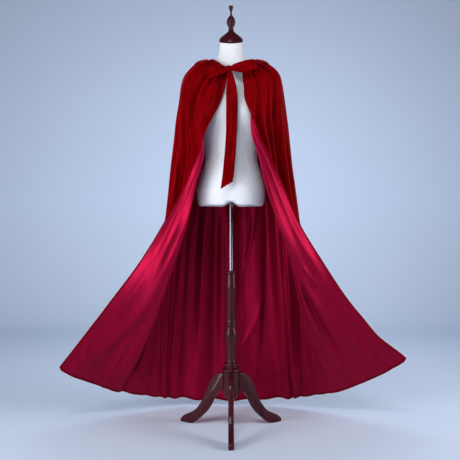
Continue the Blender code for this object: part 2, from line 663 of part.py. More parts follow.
def turned(name, profile, material, steps=TURNED_STEPS, bore=None):
    """A turned piece. A bore is (radius, depth to its bottom)."""
    points = [(0.0, profile[0][1])] + list(profile) + [(0.0, profile[-1][1])]
    if bore:
        points = [(0.0, bore[1]), (bore[0], bore[1]), (bore[0], profile[0][1])] + points[1:]
    lines = [(k, k + 1) for k in range(len(points) - 1)]
    mesh = bpy.data.meshes.new(name)
    mesh.from_pydata([(radius, 0.0, z) for radius, z in points], lines, [])
    piece = add_object(name, mesh, material)
    screw = piece.modifiers.new("turned", "SCREW")
    screw.steps = steps
    screw.render_steps = steps
    screw.use_merge_vertices = True
    screw.merge_threshold = 0.0001
    screw.use_smooth_shade = True


def cap_and_finial():
    """The turned cap, whose foot leans with the sloping top of the neck."""
    rings = []
    for radius, z in CAP_PROFILE:
        lean = NECK_TILT * np.clip((CAP_LEAN_TOP - z) / (CAP_LEAN_TOP - CAP_RIM_Z), 0, 1)
        ring = []
        for k in range(TURNED_STEPS):
            angle = 2 * math.pi * k / TURNED_STEPS
            x, y = radius * math.cos(angle), radius * math.sin(angle)
            ring.append((x, y + CAP_Y, z + lean * (y + CAP_Y)))
        rings.append(ring)
    lofted("neck_cap", rings, MAHOGANY)


def stand_leg(index):
    """An S-shaped plank leg, square to the post."""
    outline = bpy.data.curves.new(f"stand_leg_{index + 1}", "CURVE")
    outline.dimensions = "2D"
    outline.fill_mode = "BOTH"
    outline.extrude = LEG_HALF_THICKNESS
    line = outline.splines.new("POLY")
    line.points.add(len(LEG_OUTLINE) - 1)
    for point, (reach, z) in zip(line.points, LEG_OUTLINE):
        point.co = (reach, z, 0.0, 1.0)
    line.use_cyclic_u = True
    leg = add_object(f"stand_leg_{index + 1}", outline, MAHOGANY)
    leg.rotation_euler = (math.pi / 2, 0.0, -math.pi / 2 + index * 2 * math.pi / LEG_COUNT)


def stand():
    turned("stand_post", POST_PROFILE, MAHOGANY, bore=(BORE_RADIUS, BORE_BOTTOM))
    top = SEAT_Z - TOUCH
    pole = ((SOCKET_RADIUS, top), (SOCKET_RADIUS, top - SOCKET_HEIGHT),
            (POLE_RADIUS, top - SOCKET_HEIGHT), (POLE_RADIUS, POLE_BOTTOM))
    turned("form_pole", pole, CHROME)
    for index in range(LEG_COUNT):
        stand_leg(index)


cloak_panels()
hood()
neck_band()
bow_loops()
bow_knot()
bow_tails()
dress_form()
cap_and_finial()
stand()
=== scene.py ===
import math

import bmesh
import bpy
import numpy as np
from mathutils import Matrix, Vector


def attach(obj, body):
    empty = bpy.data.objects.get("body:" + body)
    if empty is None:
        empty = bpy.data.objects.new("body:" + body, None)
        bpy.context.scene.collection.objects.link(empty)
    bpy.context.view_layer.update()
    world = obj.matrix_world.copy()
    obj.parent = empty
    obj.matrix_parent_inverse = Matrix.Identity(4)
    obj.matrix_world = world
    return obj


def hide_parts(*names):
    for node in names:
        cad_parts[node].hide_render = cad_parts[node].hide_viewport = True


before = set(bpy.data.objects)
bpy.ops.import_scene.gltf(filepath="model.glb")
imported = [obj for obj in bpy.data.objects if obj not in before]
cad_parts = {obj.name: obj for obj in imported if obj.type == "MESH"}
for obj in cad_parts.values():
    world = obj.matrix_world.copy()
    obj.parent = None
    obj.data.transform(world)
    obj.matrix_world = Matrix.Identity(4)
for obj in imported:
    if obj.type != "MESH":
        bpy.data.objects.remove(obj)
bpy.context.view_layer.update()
print("frame loaded:", len(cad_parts), "nodes")

place = {
    "postX": -0.0099,  # the axis of post, pole and form
    "postY": -0.0626,
    "touch": 0.0003,   # between pieces that touch or are sewn together
    "seed": 11,
}
draw = np.random.default_rng(place["seed"])
axisPoint = np.array([place["postX"], place["postY"], 0.0])


def newObject(name, data):
    made = bpy.data.objects.new(name, data)
    bpy.context.scene.collection.objects.link(made)
    return made


# camera and stage
view = {
    "distance": 2.80,   # from the post, at the photograph's angle
    "height": 0.90,
    "aside": -0.0045,
    "pixels": 460,
    "focal": 622.0,     # in pixels of that picture
    "sensor": 36.0,
}


def makeCamera():
    lens = bpy.data.cameras.new("viewCamera")
    lens.sensor_width = view["sensor"]
    lens.lens = view["focal"] / view["pixels"] * view["sensor"]
    camera = newObject("viewCamera", lens)
    camera.location = (place["postX"] + view["aside"], place["postY"] - view["distance"], view["height"])
    camera.rotation_euler = (math.pi / 2, 0.0, 0.0)
    bpy.context.scene.camera = camera


room = {
    "floorColour": (0.69, 0.81, 1.0),
    "floorShader": {"Roughness": 0.9, "Specular IOR Level": 0.1},
    "floorFront": -4.0,
    "floorBack": 2.6,
    "halfWidth": 5.0,
    "bend": 1.2,        # radius where the floor rises into the wall
    "bendSteps": 14,
    "wallTop": 5.0,
    "air": (0.60, 0.66, 0.80),
    "airStrength": 0.098,
}
lamps = [  # name, place, aims at, size, watts, colour
    ("leftLamp", (-3.0, -2.45, 1.10), (-0.1, -0.1, 0.60), (1.6, 1.8), 108, (1.0, 0.98, 0.97)),
    ("rightLamp", (3.3, -1.15, 1.40), (0.1, -0.1, 0.80), (1.5, 2.1), 86, (1.0, 0.98, 0.98)),
    ("frontLamp", (-0.5, -2.4, 3.4), (0.0, 0.0, 1.05), (1.0, 0.8), 33, (0.98, 0.99, 1.0)),
    ("lowLamp", (-1.6, -3.4, 0.50), (0.15, 0.2, 0.40), (1.6, 0.7), 15, (1.0, 0.98, 1.0)),
    ("wallLamp", (0.25, 1.2, 2.30), (0.25, 3.0, 0.1), (1.8, 0.7), 18, (0.97, 0.99, 1.0)),
]


def makeFloor():
    profile = [(room["floorFront"], 0.0), (room["floorBack"], 0.0)]
    for k in range(1, room["bendSteps"] + 1):
        turn = math.pi / 2 * k / room["bendSteps"]
        back = room["floorBack"] + room["bend"] * math.sin(turn)
        profile.append((back, room["bend"] * (1 - math.cos(turn))))
    profile.append((profile[-1][0], room["wallTop"]))
    corners, faces = [], []
    for y, z in profile:
        corners += [(-room["halfWidth"], y, z), (room["halfWidth"], y, z)]
    for k in range(len(profile) - 1):
        faces.append((2 * k, 2 * k + 1, 2 * k + 3, 2 * k + 2))
    mesh = bpy.data.meshes.new("studioFloor")
    mesh.from_pydata(corners, [], faces)
    mesh.shade_smooth()
    paint = bpy.data.materials.new("studioPaper")
    paint.use_nodes = True
    shader = paint.node_tree.nodes["Principled BSDF"]
    shader.inputs["Base Color"].default_value = (*room["floorColour"], 1.0)
    for key, value in room["floorShader"].items():
        shader.inputs[key].default_value = value
    mesh.materials.append(paint)
    newObject("studioFloor", mesh)


def makeLight():
    world = bpy.data.worlds.new("studioAir")
    world.use_nodes = True
    air = world.node_tree.nodes["Background"]
    air.inputs["Color"].default_value = (*room["air"], 1.0)
    air.inputs["Strength"].default_value = room["airStrength"]
    bpy.context.scene.world = world
    for name, at, aim, size, watts, colour in lamps:
        light = bpy.data.lights.new(name, "AREA")
        light.shape = "RECTANGLE"
        light.size, light.size_y = size
        light.energy = watts
        light.color = colour
        lamp = newObject(name, light)
        lamp.location = at
        lamp.rotation_euler = (Vector(aim) - Vector(at)).to_track_quat("-Z", "Y").to_euler()
    bpy.context.scene.view_settings.view_transform = "Standard"


makeCamera()
makeFloor()
makeLight()
print("camera, floor and lamps placed")


# materials
def newGroup(name, inputs, outputs):
    # all sockets are numbers; inputs gives each its value
    group = bpy.data.node_groups.new(name, "ShaderNodeTree")
    for label, value in inputs.items():
        socket = group.interface.new_socket(label, in_out="INPUT", socket_type="NodeSocketFloat")
        socket.default_value = value
    for label in outputs:
        group.interface.new_socket(label, in_out="OUTPUT", socket_type="NodeSocketFloat")
    return group, group.nodes.new("NodeGroupInput"), group.nodes.new("NodeGroupOutput")


def addNode(tree, kind, settings=None, **links):
    # settings are values of sockets or of the node; links go by a socket's name, or by i0 or i1, its number
    node = tree.nodes.new(kind)
    for key, value in (settings or {}).items():
        if key in node.inputs:
            node.inputs[key].default_value = value
        else:
            setattr(node, key, value)
    for key, source in links.items():
        socket = int(key[1:]) if key[0] == "i" and key[1:].isdigit() else key
        tree.links.new(source, node.inputs[socket])
    return node


def addMath(tree, operation, first, second=None, clamp=False):
    # second is a number or a socket
    node = addNode(tree, "ShaderNodeMath", {"operation": operation, "use_clamp": clamp}, i0=first)
    if isinstance(second, float):
        node.inputs[1].default_value = second
    elif second is not None:
        tree.links.new(second, node.inputs[1])
    return node.outputs[0]


def makeStreaks():
    # long soft streaks, such as a pile brushed by the folds or a run in silk
    group, start, end = newGroup("napStreaks", {"Across": 14.0, "Along": 2.0, "Contrast": 0.5}, ["Mask"])
    across, along = start.outputs["Across"], start.outputs["Along"]
    spot = addNode(group, "ShaderNodeTexCoord")
    size = addNode(group, "ShaderNodeCombineXYZ", X=across, Y=across, Z=along)
    moved = addNode(group, "ShaderNodeVectorMath", {"operation": "MULTIPLY"}, i0=spot.outputs["Object"],
                    i1=size.outputs[0])
    noise = addNode(group, "ShaderNodeTexNoise", {"Scale": 1.0, "Detail": 4.0, "Roughness": 0.62},
                    Vector=moved.outputs[0])
    centred = addMath(group, "SUBTRACT", noise.outputs["Fac"], 0.5)
    scaled = addMath(group, "MULTIPLY", centred, start.outputs["Contrast"])
    group.links.new(addMath(group, "ADD", scaled, 0.5, True), end.inputs["Mask"])
    return group


def makeWeave():
    # crossing threads: Count is half waves to the metre
    group, start, end = newGroup("threadWeave", {"Count": 900.0, "Slub": 0.4}, ["Height", "Mask"])
    spot = addNode(group, "ShaderNodeTexCoord")
    moved = addNode(group, "ShaderNodeVectorMath", {"operation": "SCALE"}, i0=spot.outputs["Object"],
                    Scale=start.outputs["Count"])
    parts = addNode(group, "ShaderNodeSeparateXYZ", i0=moved.outputs[0])
    waves = []
    for axis in (0, 2):
        turn = addMath(group, "MULTIPLY", parts.outputs[axis], math.pi)
        waves.append(addMath(group, "SINE", turn))
    crossed = addMath(group, "MULTIPLY", waves[0], waves[1])
    noise = addNode(group, "ShaderNodeTexNoise", {"Scale": 0.05, "Detail": 3.0}, Vector=moved.outputs[0])
    slub = addMath(group, "MULTIPLY", noise.outputs["Fac"], start.outputs["Slub"])
    group.links.new(addMath(group, "ADD", crossed, slub), end.inputs["Height"])
    group.links.new(noise.outputs["Fac"], end.inputs["Mask"])
    return group


streakGroup = makeStreaks()
weaveGroup = makeWeave()


def newMaterial(name, look):
    material = bpy.data.materials.new(name)
    material.use_nodes = True
    tree = material.node_tree
    shader = tree.nodes["Principled BSDF"]
    for key, value in look["shader"].items():
        shader.inputs[key].default_value = value
    return material, tree, shader


def useGroup(tree, group, values):
    node = tree.nodes.new("ShaderNodeGroup")
    node.node_tree = group
    for key, value in values.items():
        node.inputs[key].default_value = value
    return node


def mixColour(tree, factor, low, high):
    # low and high are colours or sockets
    node = tree.nodes.new("ShaderNodeMix")
    node.data_type = "RGBA"
    tree.links.new(factor, node.inputs["Factor"])
    for label, value in (("A", low), ("B", high)):
        socket = [s for s in node.inputs if s.name == label and s.type == "RGBA"][0]
        if isinstance(value, tuple):
            socket.default_value = (*value, 1.0)
        else:
            tree.links.new(value, socket)
    return [s for s in node.outputs if s.type == "RGBA"][0]


def setBump(tree, shader, height, bump):
    strength, distance = bump
    node = addNode(tree, "ShaderNodeBump", {"Strength": strength, "Distance": distance}, Height=height)
    tree.links.new(node.outputs["Normal"], shader.inputs["Normal"])


velvetLook = {
    "deep": (0.046, 0.0001, 0.0005),
    "face": (0.265, 0.0002, 0.0022),
    "rim": (0.230, 0.0003, 0.0036),
    "bloom": (0.560, 0.0070, 0.0560),   # the palest rim, where the pile is seen from the side
    "rimBlend": 0.36,
    "bloomFrom": 0.66,
    "crushed": 0.32,                    # how far the brushed spots darken
    "crushRange": {"From Min": 0.52, "From Max": 0.86, "To Max": 0.75},
    "streaks": {"Across": 46.0, "Along": 1.6, "Contrast": 1.8},
    "crush": {"Across": 130.0, "Along": 9.0, "Contrast": 1.3},
    "pile": {"Scale": 1300.0, "Detail": 2.0},
    "bump": (0.25, 0.0006),             # strength, distance in metres
    "shader": {"Roughness": 0.55, "Specular IOR Level": 0.07, "Specular Tint": (1.0, 0.02, 0.06, 1.0),
               "Sheen Weight": 0.10, "Sheen Roughness": 0.30, "Sheen Tint": (1.0, 0.02, 0.10, 1.0)},
}
ribbonLook = {
    **velvetLook,
    "streaks": {"Across": 90.0, "Along": 20.0, "Contrast": 2.0},
    "crush": {"Across": 160.0, "Along": 60.0, "Contrast": 1.0},
}


def makeVelvet(name, look):
    material, tree, shader = newMaterial(name, look)
    nap = useGroup(tree, streakGroup, look["streaks"])
    spots = useGroup(tree, streakGroup, look["crush"])
    body = mixColour(tree, nap.outputs["Mask"], look["deep"], look["face"])
    edge = addNode(tree, "ShaderNodeLayerWeight", {"Blend": look["rimBlend"]})
    lit = mixColour(tree, edge.outputs["Facing"], body, look["rim"])
    darker = tuple(value * (1 - look["crushed"]) for value in look["face"])
    brushed = addNode(tree, "ShaderNodeMapRange", look["crushRange"], Value=spots.outputs["Mask"])
    worn = mixColour(tree, brushed.outputs["Result"], lit, darker)
    last = addNode(tree, "ShaderNodeMapRange", {"From Min": look["bloomFrom"]}, Value=edge.outputs["Facing"])
    shown = mixColour(tree, last.outputs["Result"], worn, look["bloom"])
    tree.links.new(shown, shader.inputs["Base Color"])
    spot = addNode(tree, "ShaderNodeTexCoord")
    pile = addNode(tree, "ShaderNodeTexNoise", look["pile"], Vector=spot.outputs["Object"])
    setBump(tree, shader, pile.outputs["Fac"], look["bump"])
    return material


satinLook = {
    "shade": (0.172, 0.0010, 0.0115),
    "light": (0.350, 0.0034, 0.0350),
    "run": {"Across": 30.0, "Along": 3.0, "Contrast": 0.9},
    "weave": {"Count": 1800.0, "Slub": 0.8},
    "bump": (0.12, 0.0003),
    "shader": {"Roughness": 0.47, "Metallic": 0.70, "Specular IOR Level": 0.45,
               "Specular Tint": (1.0, 0.16, 0.46, 1.0), "Sheen Weight": 0.02,
               "Sheen Tint": (1.0, 0.20, 0.40, 1.0)},
}
threadLook = {
    **satinLook,
    "shade": (0.120, 0.0010, 0.0120),
    "light": (0.260, 0.0030, 0.0300),
    "shader": {"Roughness": 0.45, "Metallic": 0.2, "Specular IOR Level": 0.4},
}


def makeSatin(name, look):
    material, tree, shader = newMaterial(name, look)
    run = useGroup(tree, streakGroup, look["run"])
    colour = mixColour(tree, run.outputs["Mask"], look["shade"], look["light"])
    tree.links.new(colour, shader.inputs["Base Color"])
    weave = useGroup(tree, weaveGroup, look["weave"])
    setBump(tree, shader, weave.outputs["Height"], look["bump"])
    return material


jerseyLook = {
    "shade": (0.71, 0.735, 0.78),
    "light": (0.79, 0.81, 0.85),
    "weave": {"Count": 1100.0, "Slub": 0.5},
    "bump": (0.2, 0.0003),
    "shader": {"Roughness": 0.62, "Specular IOR Level": 0.3, "Sheen Weight": 0.2, "Sheen Roughness": 0.5},
}


def makeJersey(name, look):
    material, tree, shader = newMaterial(name, look)
    weave = useGroup(tree, weaveGroup, look["weave"])
    colour = mixColour(tree, weave.outputs["Mask"], look["shade"], look["light"])
    tree.links.new(colour, shader.inputs["Base Color"])
    setBump(tree, shader, weave.outputs["Height"], look["bump"])
    return material


woodLook = {
    "dark": (0.016, 0.0014, 0.0034),
    "warm": (0.072, 0.0045, 0.0120),
    "from": 0.36,                       # where the grain is dark, and where it is warm
    "to": 0.66,
    "stretch": (1.0, 1.0, 0.08),        # the grain runs up the wood
    "grain": {"Scale": 55.0, "Detail": 8.0, "Roughness": 0.7, "Distortion": 1.2},
    "bump": (0.06, 0.0008),
    "shader": {"Roughness": 0.45, "Specular IOR Level": 0.12, "Coat Weight": 0.18, "Coat Roughness": 0.05},
}


def makeMahogany(name, look):
    material, tree, shader = newMaterial(name, look)
    spot = addNode(tree, "ShaderNodeTexCoord")
    stretched = addNode(tree, "ShaderNodeMapping", {"Scale": look["stretch"]}, Vector=spot.outputs["Object"])
    grain = addNode(tree, "ShaderNodeTexNoise", look["grain"], Vector=stretched.outputs[0])
    ramp = addNode(tree, "ShaderNodeValToRGB", Fac=grain.outputs["Fac"])
    ends = ramp.color_ramp.elements
    ends[0].position = look["from"]
    ends[1].position = look["to"]
    ends[0].color = (*look["dark"], 1.0)
    ends[1].color = (*look["warm"], 1.0)
    tree.links.new(ramp.outputs["Color"], shader.inputs["Base Color"])
    setBump(tree, shader, grain.outputs["Fac"], look["bump"])
    return material


chromeLook = {
    "run": {"Across": 400.0, "Along": 0.4, "Contrast": 0.2},
    "roughness": {"To Min": 0.24, "To Max": 0.28},
    "shader": {"Metallic": 1.0, "Base Color": (0.16, 0.16, 0.185, 1.0)},
}


def makeChrome(name, look):
    material, tree, shader = newMaterial(name, look)
    run = useGroup(tree, streakGroup, look["run"])
    rough = addNode(tree, "ShaderNodeMapRange", look["roughness"], Value=run.outputs["Mask"])
    tree.links.new(rough.outputs["Result"], shader.inputs["Roughness"])
    return material


velvet = makeVelvet("redVelvet", velvetLook)
ribbonVelvet = makeVelvet("ribbonVelvet", ribbonLook)
satin = makeSatin("crimsonSatin", satinLook)
thread = makeSatin("crimsonThread", threadLook)
jersey = makeJersey("whiteJersey", jerseyLook)
mahogany = makeMahogany("darkMahogany", woodLook)
chrome = makeChrome("chromedTube", chromeLook)
print("materials made")


# shared mesh tools
def smoothThrough(knots, values, where):
    # values on a smooth curve through the knots; knots is one row, or a row for each place
    where = np.asarray(where, float)
    values = np.asarray(values, float)
    table = values if values.ndim == 3 else np.broadcast_to(values, (len(where),) + values.shape)
    knots = np.broadcast_to(np.asarray(knots, float), table.shape[:2])
    step = np.diff(knots, axis=1)[:, :, None]
    slope = np.diff(table, axis=1) / step
    tangent = np.empty_like(table)
    tangent[:, 0] = slope[:, 0]
    tangent[:, -1] = slope[:, -1]
    weight = step[:, 1:] / (step[:, 1:] + step[:, :-1])
    tangent[:, 1:-1] = weight * slope[:, :-1] + (1 - weight) * slope[:, 1:]
    index = np.clip((knots <= where[:, None]).sum(axis=1) - 1, 0, knots.shape[1] - 2)
    each = np.arange(len(where))
    width = (knots[each, index + 1] - knots[each, index])[:, None]
    u = (where - knots[each, index])[:, None] / width
    low, high = table[each, index], table[each, index + 1]
    out, into = tangent[each, index] * width, tangent[each, index + 1] * width
    return (low * (1 + 2 * u) * (1 - u) ** 2 + out * u * (1 - u) ** 2
            + high * u * u * (3 - 2 * u) + into * u * u * (u - 1))


def ease(x):
    x = np.clip(x, 0.0, 1.0)
    return x * x * (3 - 2 * x)


def gridNormals(points):
    along = np.gradient(points, axis=1)
    down = np.gradient(points, axis=0)
    out = np.cross(along, down)
    return out / np.maximum(np.linalg.norm(out, axis=2, keepdims=True), 1e-12)


def meshFrom(name, corners, faces, material):
    mesh = bpy.data.meshes.new(name)
    mesh.from_pydata(np.asarray(corners).tolist(), [], [list(face) for face in faces])
    mesh.validate()
    mesh.shade_smooth()
    mesh.materials.append(material)
    return newObject(name, mesh)


def meshFromWork(name, work, material):
    # from a bmesh, which it frees
    mesh = bpy.data.meshes.new(name)
    work.to_mesh(mesh)
    work.free()
    mesh.shade_smooth()
    mesh.materials.append(material)
    return newObject(name, mesh)


def clothWall(name, points, low, high, material, normals=None):
    # a closed sheet between two offsets of one grid of points
    rows, columns = points.shape[:2]
    normals = gridNormals(points) if normals is None else normals
    outer = (points + normals * high).reshape(-1, 3)
    inner = (points + normals * low).reshape(-1, 3)
    count = rows * columns
    r, c = np.meshgrid(np.arange(rows - 1), np.arange(columns - 1), indexing="ij")
    a = (r * columns + c).ravel()
    quads = np.stack([a, a + 1, a + columns + 1, a + columns], axis=1)
    back = quads[:, ::-1] + count
    rim = (list(range(columns)) + [k * columns + columns - 1 for k in range(1, rows)]
           + [(rows - 1) * columns + k for k in range(columns - 2, -1, -1)]
           + [k * columns for k in range(rows - 2, 0, -1)])
    rim = np.array(rim)
    after = np.roll(rim, -1)
    side = np.stack([after, rim, rim + count, after + count], axis=1)
    return meshFrom(name, np.concatenate([outer, inner]), np.concatenate([quads, back, side]), material)


def fit(piece, body, slot, *nodes):
    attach(piece, body)
    if nodes:
        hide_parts(*nodes)
    return piece


def sheetArea(points):
    a, b = points[:-1, :-1], points[:-1, 1:]
    d, e = points[1:, :-1], points[1:, 1:]
    return float((np.linalg.norm(np.cross(b - a, e - a), axis=2)
                  + np.linalg.norm(np.cross(e - a, d - a), axis=2)).sum() / 2)


def lineLength(points):
    return float(np.linalg.norm(np.diff(points, axis=0), axis=1).sum())


def unitRows(vectors):
    return vectors / np.linalg.norm(vectors, axis=1, keepdims=True)


def unevenWave(at, waves):
    count, sway, slow = waves
    return np.sin(at * count + sway * np.sin(at * slow))


# the cloak
cloak = {
    # lines down the cloak from the post's axis: share of the length, side, roll and free edge (x, y, z each)
    "left": [
        (0.000, -0.088, 0.002, 1.6610, -0.064, -0.078, 1.6330, -0.014, -0.104, 1.597),
        (0.038, -0.146, 0.004, 1.6480, -0.088, -0.110, 1.5880, -0.021, -0.121, 1.540),
        (0.094, -0.203, 0.008, 1.5980, -0.114, -0.134, 1.5030, -0.049, -0.133, 1.448),
        (0.181, -0.228, 0.012, 1.4620, -0.135, -0.149, 1.3620, -0.101, -0.167, 1.337),
        (0.225, -0.237, 0.014, 1.3930, -0.126, -0.146, 1.3000, -0.121, -0.168, 1.288),
        (0.269, -0.243, 0.016, 1.3240, -0.119, -0.143, 1.2340, -0.140, -0.159, 1.236),
        (0.356, -0.260, 0.020, 1.1860, -0.151, -0.134, 1.0920, -0.200, -0.120, 1.090),
        (0.469, -0.282, 0.028, 1.0060, -0.193, -0.116, 0.9170, -0.298, -0.058, 0.925),
        (0.594, -0.315, 0.060, 0.8100, -0.251, -0.062, 0.7370, -0.399, -0.030, 0.766),
        (0.750, -0.345, 0.165, 0.5000, -0.355, 0.060, 0.4900, -0.549, 0.000, 0.570),
        (1.000, -0.360, 0.325, 0.0620, -0.530, 0.245, 0.1070, -0.785, 0.050, 0.272),
    ],
    "right": [
        (0.000, 0.090, 0.002, 1.6610, 0.080, -0.072, 1.6350, 0.048, -0.101, 1.600),
        (0.038, 0.150, 0.004, 1.6500, 0.092, -0.110, 1.5850, 0.052, -0.120, 1.545),
        (0.094, 0.213, 0.008, 1.5980, 0.104, -0.134, 1.5050, 0.061, -0.139, 1.462),
        (0.135, 0.228, 0.010, 1.5350, 0.099, -0.143, 1.4320, 0.086, -0.164, 1.410),
        (0.181, 0.238, 0.012, 1.4620, 0.090, -0.146, 1.3450, 0.103, -0.165, 1.338),
        (0.269, 0.258, 0.016, 1.3240, 0.120, -0.145, 1.2150, 0.167, -0.145, 1.215),
        (0.356, 0.275, 0.020, 1.1860, 0.149, -0.134, 1.0890, 0.228, -0.110, 1.090),
        (0.469, 0.295, 0.028, 1.0060, 0.205, -0.112, 0.9300, 0.300, -0.057, 0.931),
        (0.594, 0.318, 0.060, 0.8100, 0.270, -0.057, 0.7450, 0.409, -0.030, 0.757),
        (0.750, 0.345, 0.165, 0.5000, 0.355, 0.060, 0.4920, 0.542, 0.000, 0.566),
        (1.000, 0.360, 0.325, 0.0640, 0.530, 0.246, 0.1100, 0.805, 0.050, 0.313),
    ],
    "back": [
        (0.000, 0.078, 1.672), (0.038, 0.112, 1.625), (0.094, 0.132, 1.540), (0.181, 0.149, 1.400),
        (0.269, 0.165, 1.262), (0.356, 0.182, 1.124), (0.469, 0.207, 0.946), (0.594, 0.238, 0.750),
        (0.750, 0.282, 0.500), (1.000, 0.383, 0.030),
    ],
    # where roll and side lie across the cloth, from the front edge (0) to the middle of the back (0.5)
    "places": [
        (0.00, 0.115, 0.280), (0.04, 0.105, 0.270), (0.10, 0.094, 0.258), (0.18, 0.090, 0.250),
        (0.27, 0.090, 0.245), (0.47, 0.090, 0.240), (0.60, 0.092, 0.240), (0.75, 0.105, 0.245),
        (1.00, 0.150, 0.285),
    ],
    "quarterRound": 0.76,
    # how far the flank is filled out, down the cloak
    "flankFull": [
        (0.0, 0.50), (0.10, 0.48), (0.20, 0.34), (0.27, 0.20), (0.36, 0.08), (0.60, 0.0), (1.0, 0.0),
    ],
    # the soft folds from the left front edge to the right: width, and depth at neck, arms and hem
    "foldWidth": [
        0.85, 0.5, 0.55, 0.8, 0.95, 0.85, 1.0, 1.1, 0.9, 1.15,
        0.95, 1.1, 0.9, 1.05, 0.9, 0.95, 0.8, 0.55, 0.5, 0.85,
    ],
    "foldNeck": [
        0.5, 0.8, 1.0, 1.0, 1.1, 0.9, 1.1, 1.0, 1.0, 1.1,
        0.9, 1.0, 1.1, 1.0, 0.9, 1.1, 1.0, 0.9, 0.7, 0.5,
    ],
    "foldArm": [
        0.15, 0.10, 0.30, 0.85, 1.15, 0.80, 1.10, 1.00, 0.90, 1.10,
        0.85, 1.10, 0.90, 1.05, 0.85, 1.15, 0.85, 0.30, 0.10, 0.15,
    ],
    "foldHem": [
        0.10, 0.15, 0.20, 0.35, 0.50, 0.60, 0.75, 0.70, 0.90, 1.00,
        0.70, 1.00, 0.80, 0.80, 0.60, 0.42, 0.28, 0.20, 0.15, 0.10,
    ],
    "foldDepth": [
        (0.0, 0.0010), (0.03, 0.0026), (0.09, 0.0052), (0.25, 0.0075), (0.5, 0.0085), (1.0, 0.0120),
    ],
    "neckTo": 0.25,         # the depth goes from the neck's to the arms' by here
    "hemFrom": 0.35,        # and from here on to the hem's
    "rollCalm": (0.95, 0.035, 0.08),    # folds flatten beside the roll: by, width across, from this share
    "sideSeams": (0.285, 0.715),
    "seamDip": 0.0005,
    "seamWidth": 0.0016,
    "velvetWall": 0.0014,
    "liningWall": 0.0010,
    "columns": 440,
    "rows": 132,
    "neckRows": 36,         # of these lie close together, down to neckShare
    "neckShare": 0.10,
}


def linePoints(rows, first, shares):
    table = np.array(rows)
    return smoothThrough(table[:, 0], table[:, first:first + 3], shares)


def halfSection(rows, shares):
    side, roll, edge = (linePoints(rows, first, shares) for first in (1, 4, 7))
    table = np.array(cloak["back"])
    middle = np.stack([table[:, 1] * 0, table[:, 1], table[:, 2]], axis=1)
    back = smoothThrough(table[:, 0], middle, shares)
    full = np.interp(shares, *np.array(cloak["flankFull"]).T)[:, None]
    corner = np.stack([side[:, 0], roll[:, 1], (side[:, 2] + roll[:, 2]) / 2], axis=1)
    flank = (roll + side) / 2 * (1 - full) + corner * full
    quarter = np.stack([side[:, 0] * cloak["quarterRound"],
                        side[:, 1] + (back[:, 1] - side[:, 1]) * cloak["quarterRound"],
                        (side[:, 2] + back[:, 2]) / 2], axis=1)
    return [edge, roll, flank, side, quarter, back]


def halfPlaces(shares):
    table = np.array(cloak["places"])
    roll, side = smoothThrough(table[:, 0], table[:, 1:], shares).T
    return np.stack([roll * 0, roll, (roll + side) / 2, side, (side + 0.5) / 2, roll * 0 + 0.5], axis=1)


def smoothCloak(across, shares):
    left, right = halfSection(cloak["left"], shares), halfSection(cloak["right"], shares)
    lines = np.stack(left + right[-2::-1], axis=1)
    half = halfPlaces(shares)
    return smoothThrough(np.concatenate([half, 1 - half[:, -2::-1]], axis=1), lines, across)


def smoothNormals(across, shares, step=0.002):
    right, left = np.clip(across + step, 0, 1), np.clip(across - step, 0, 1)
    below, above = np.clip(shares + step, 0, 1), np.clip(shares - step, 0, 1)
    along = smoothCloak(right, shares) - smoothCloak(left, shares)
    down = smoothCloak(across, below) - smoothCloak(across, above)
    return unitRows(np.cross(along, down))


foldEnds = np.concatenate([[0.0], np.cumsum(cloak["foldWidth"])])
foldEnds = foldEnds / foldEnds[-1]
foldMiddles = (foldEnds[1:] + foldEnds[:-1]) / 2


def usualDepth(shares):
    return np.interp(shares, *np.array(cloak["foldDepth"]).T)


def foldHeight(across, shares):
    # the same soft folds as the solids, off the smooth surface
    turn = np.interp(across, foldEnds, np.arange(len(foldEnds)))
    neck, arm, low = (np.interp(across, foldMiddles, cloak["fold" + at]) for at in ("Neck", "Arm", "Hem"))
    upper = np.clip(shares / cloak["neckTo"], 0, 1)
    lower = np.clip((shares - cloak["hemFrom"]) / (1 - cloak["hemFrom"]), 0, 1)
    own = neck * (1 - upper) + arm * upper * (1 - lower) + low * lower
    roll = np.interp(shares, *np.array(cloak["places"]).T[:2])
    beside = np.maximum(np.minimum(across, 1 - across) - roll, 0)
    calm, width, start = cloak["rollCalm"]
    own = own * (1 - calm * np.exp(-(beside / width) ** 2) * np.clip(shares / start, 0, 1))
    return -np.cos(2 * math.pi * turn) * own * usualDepth(shares)


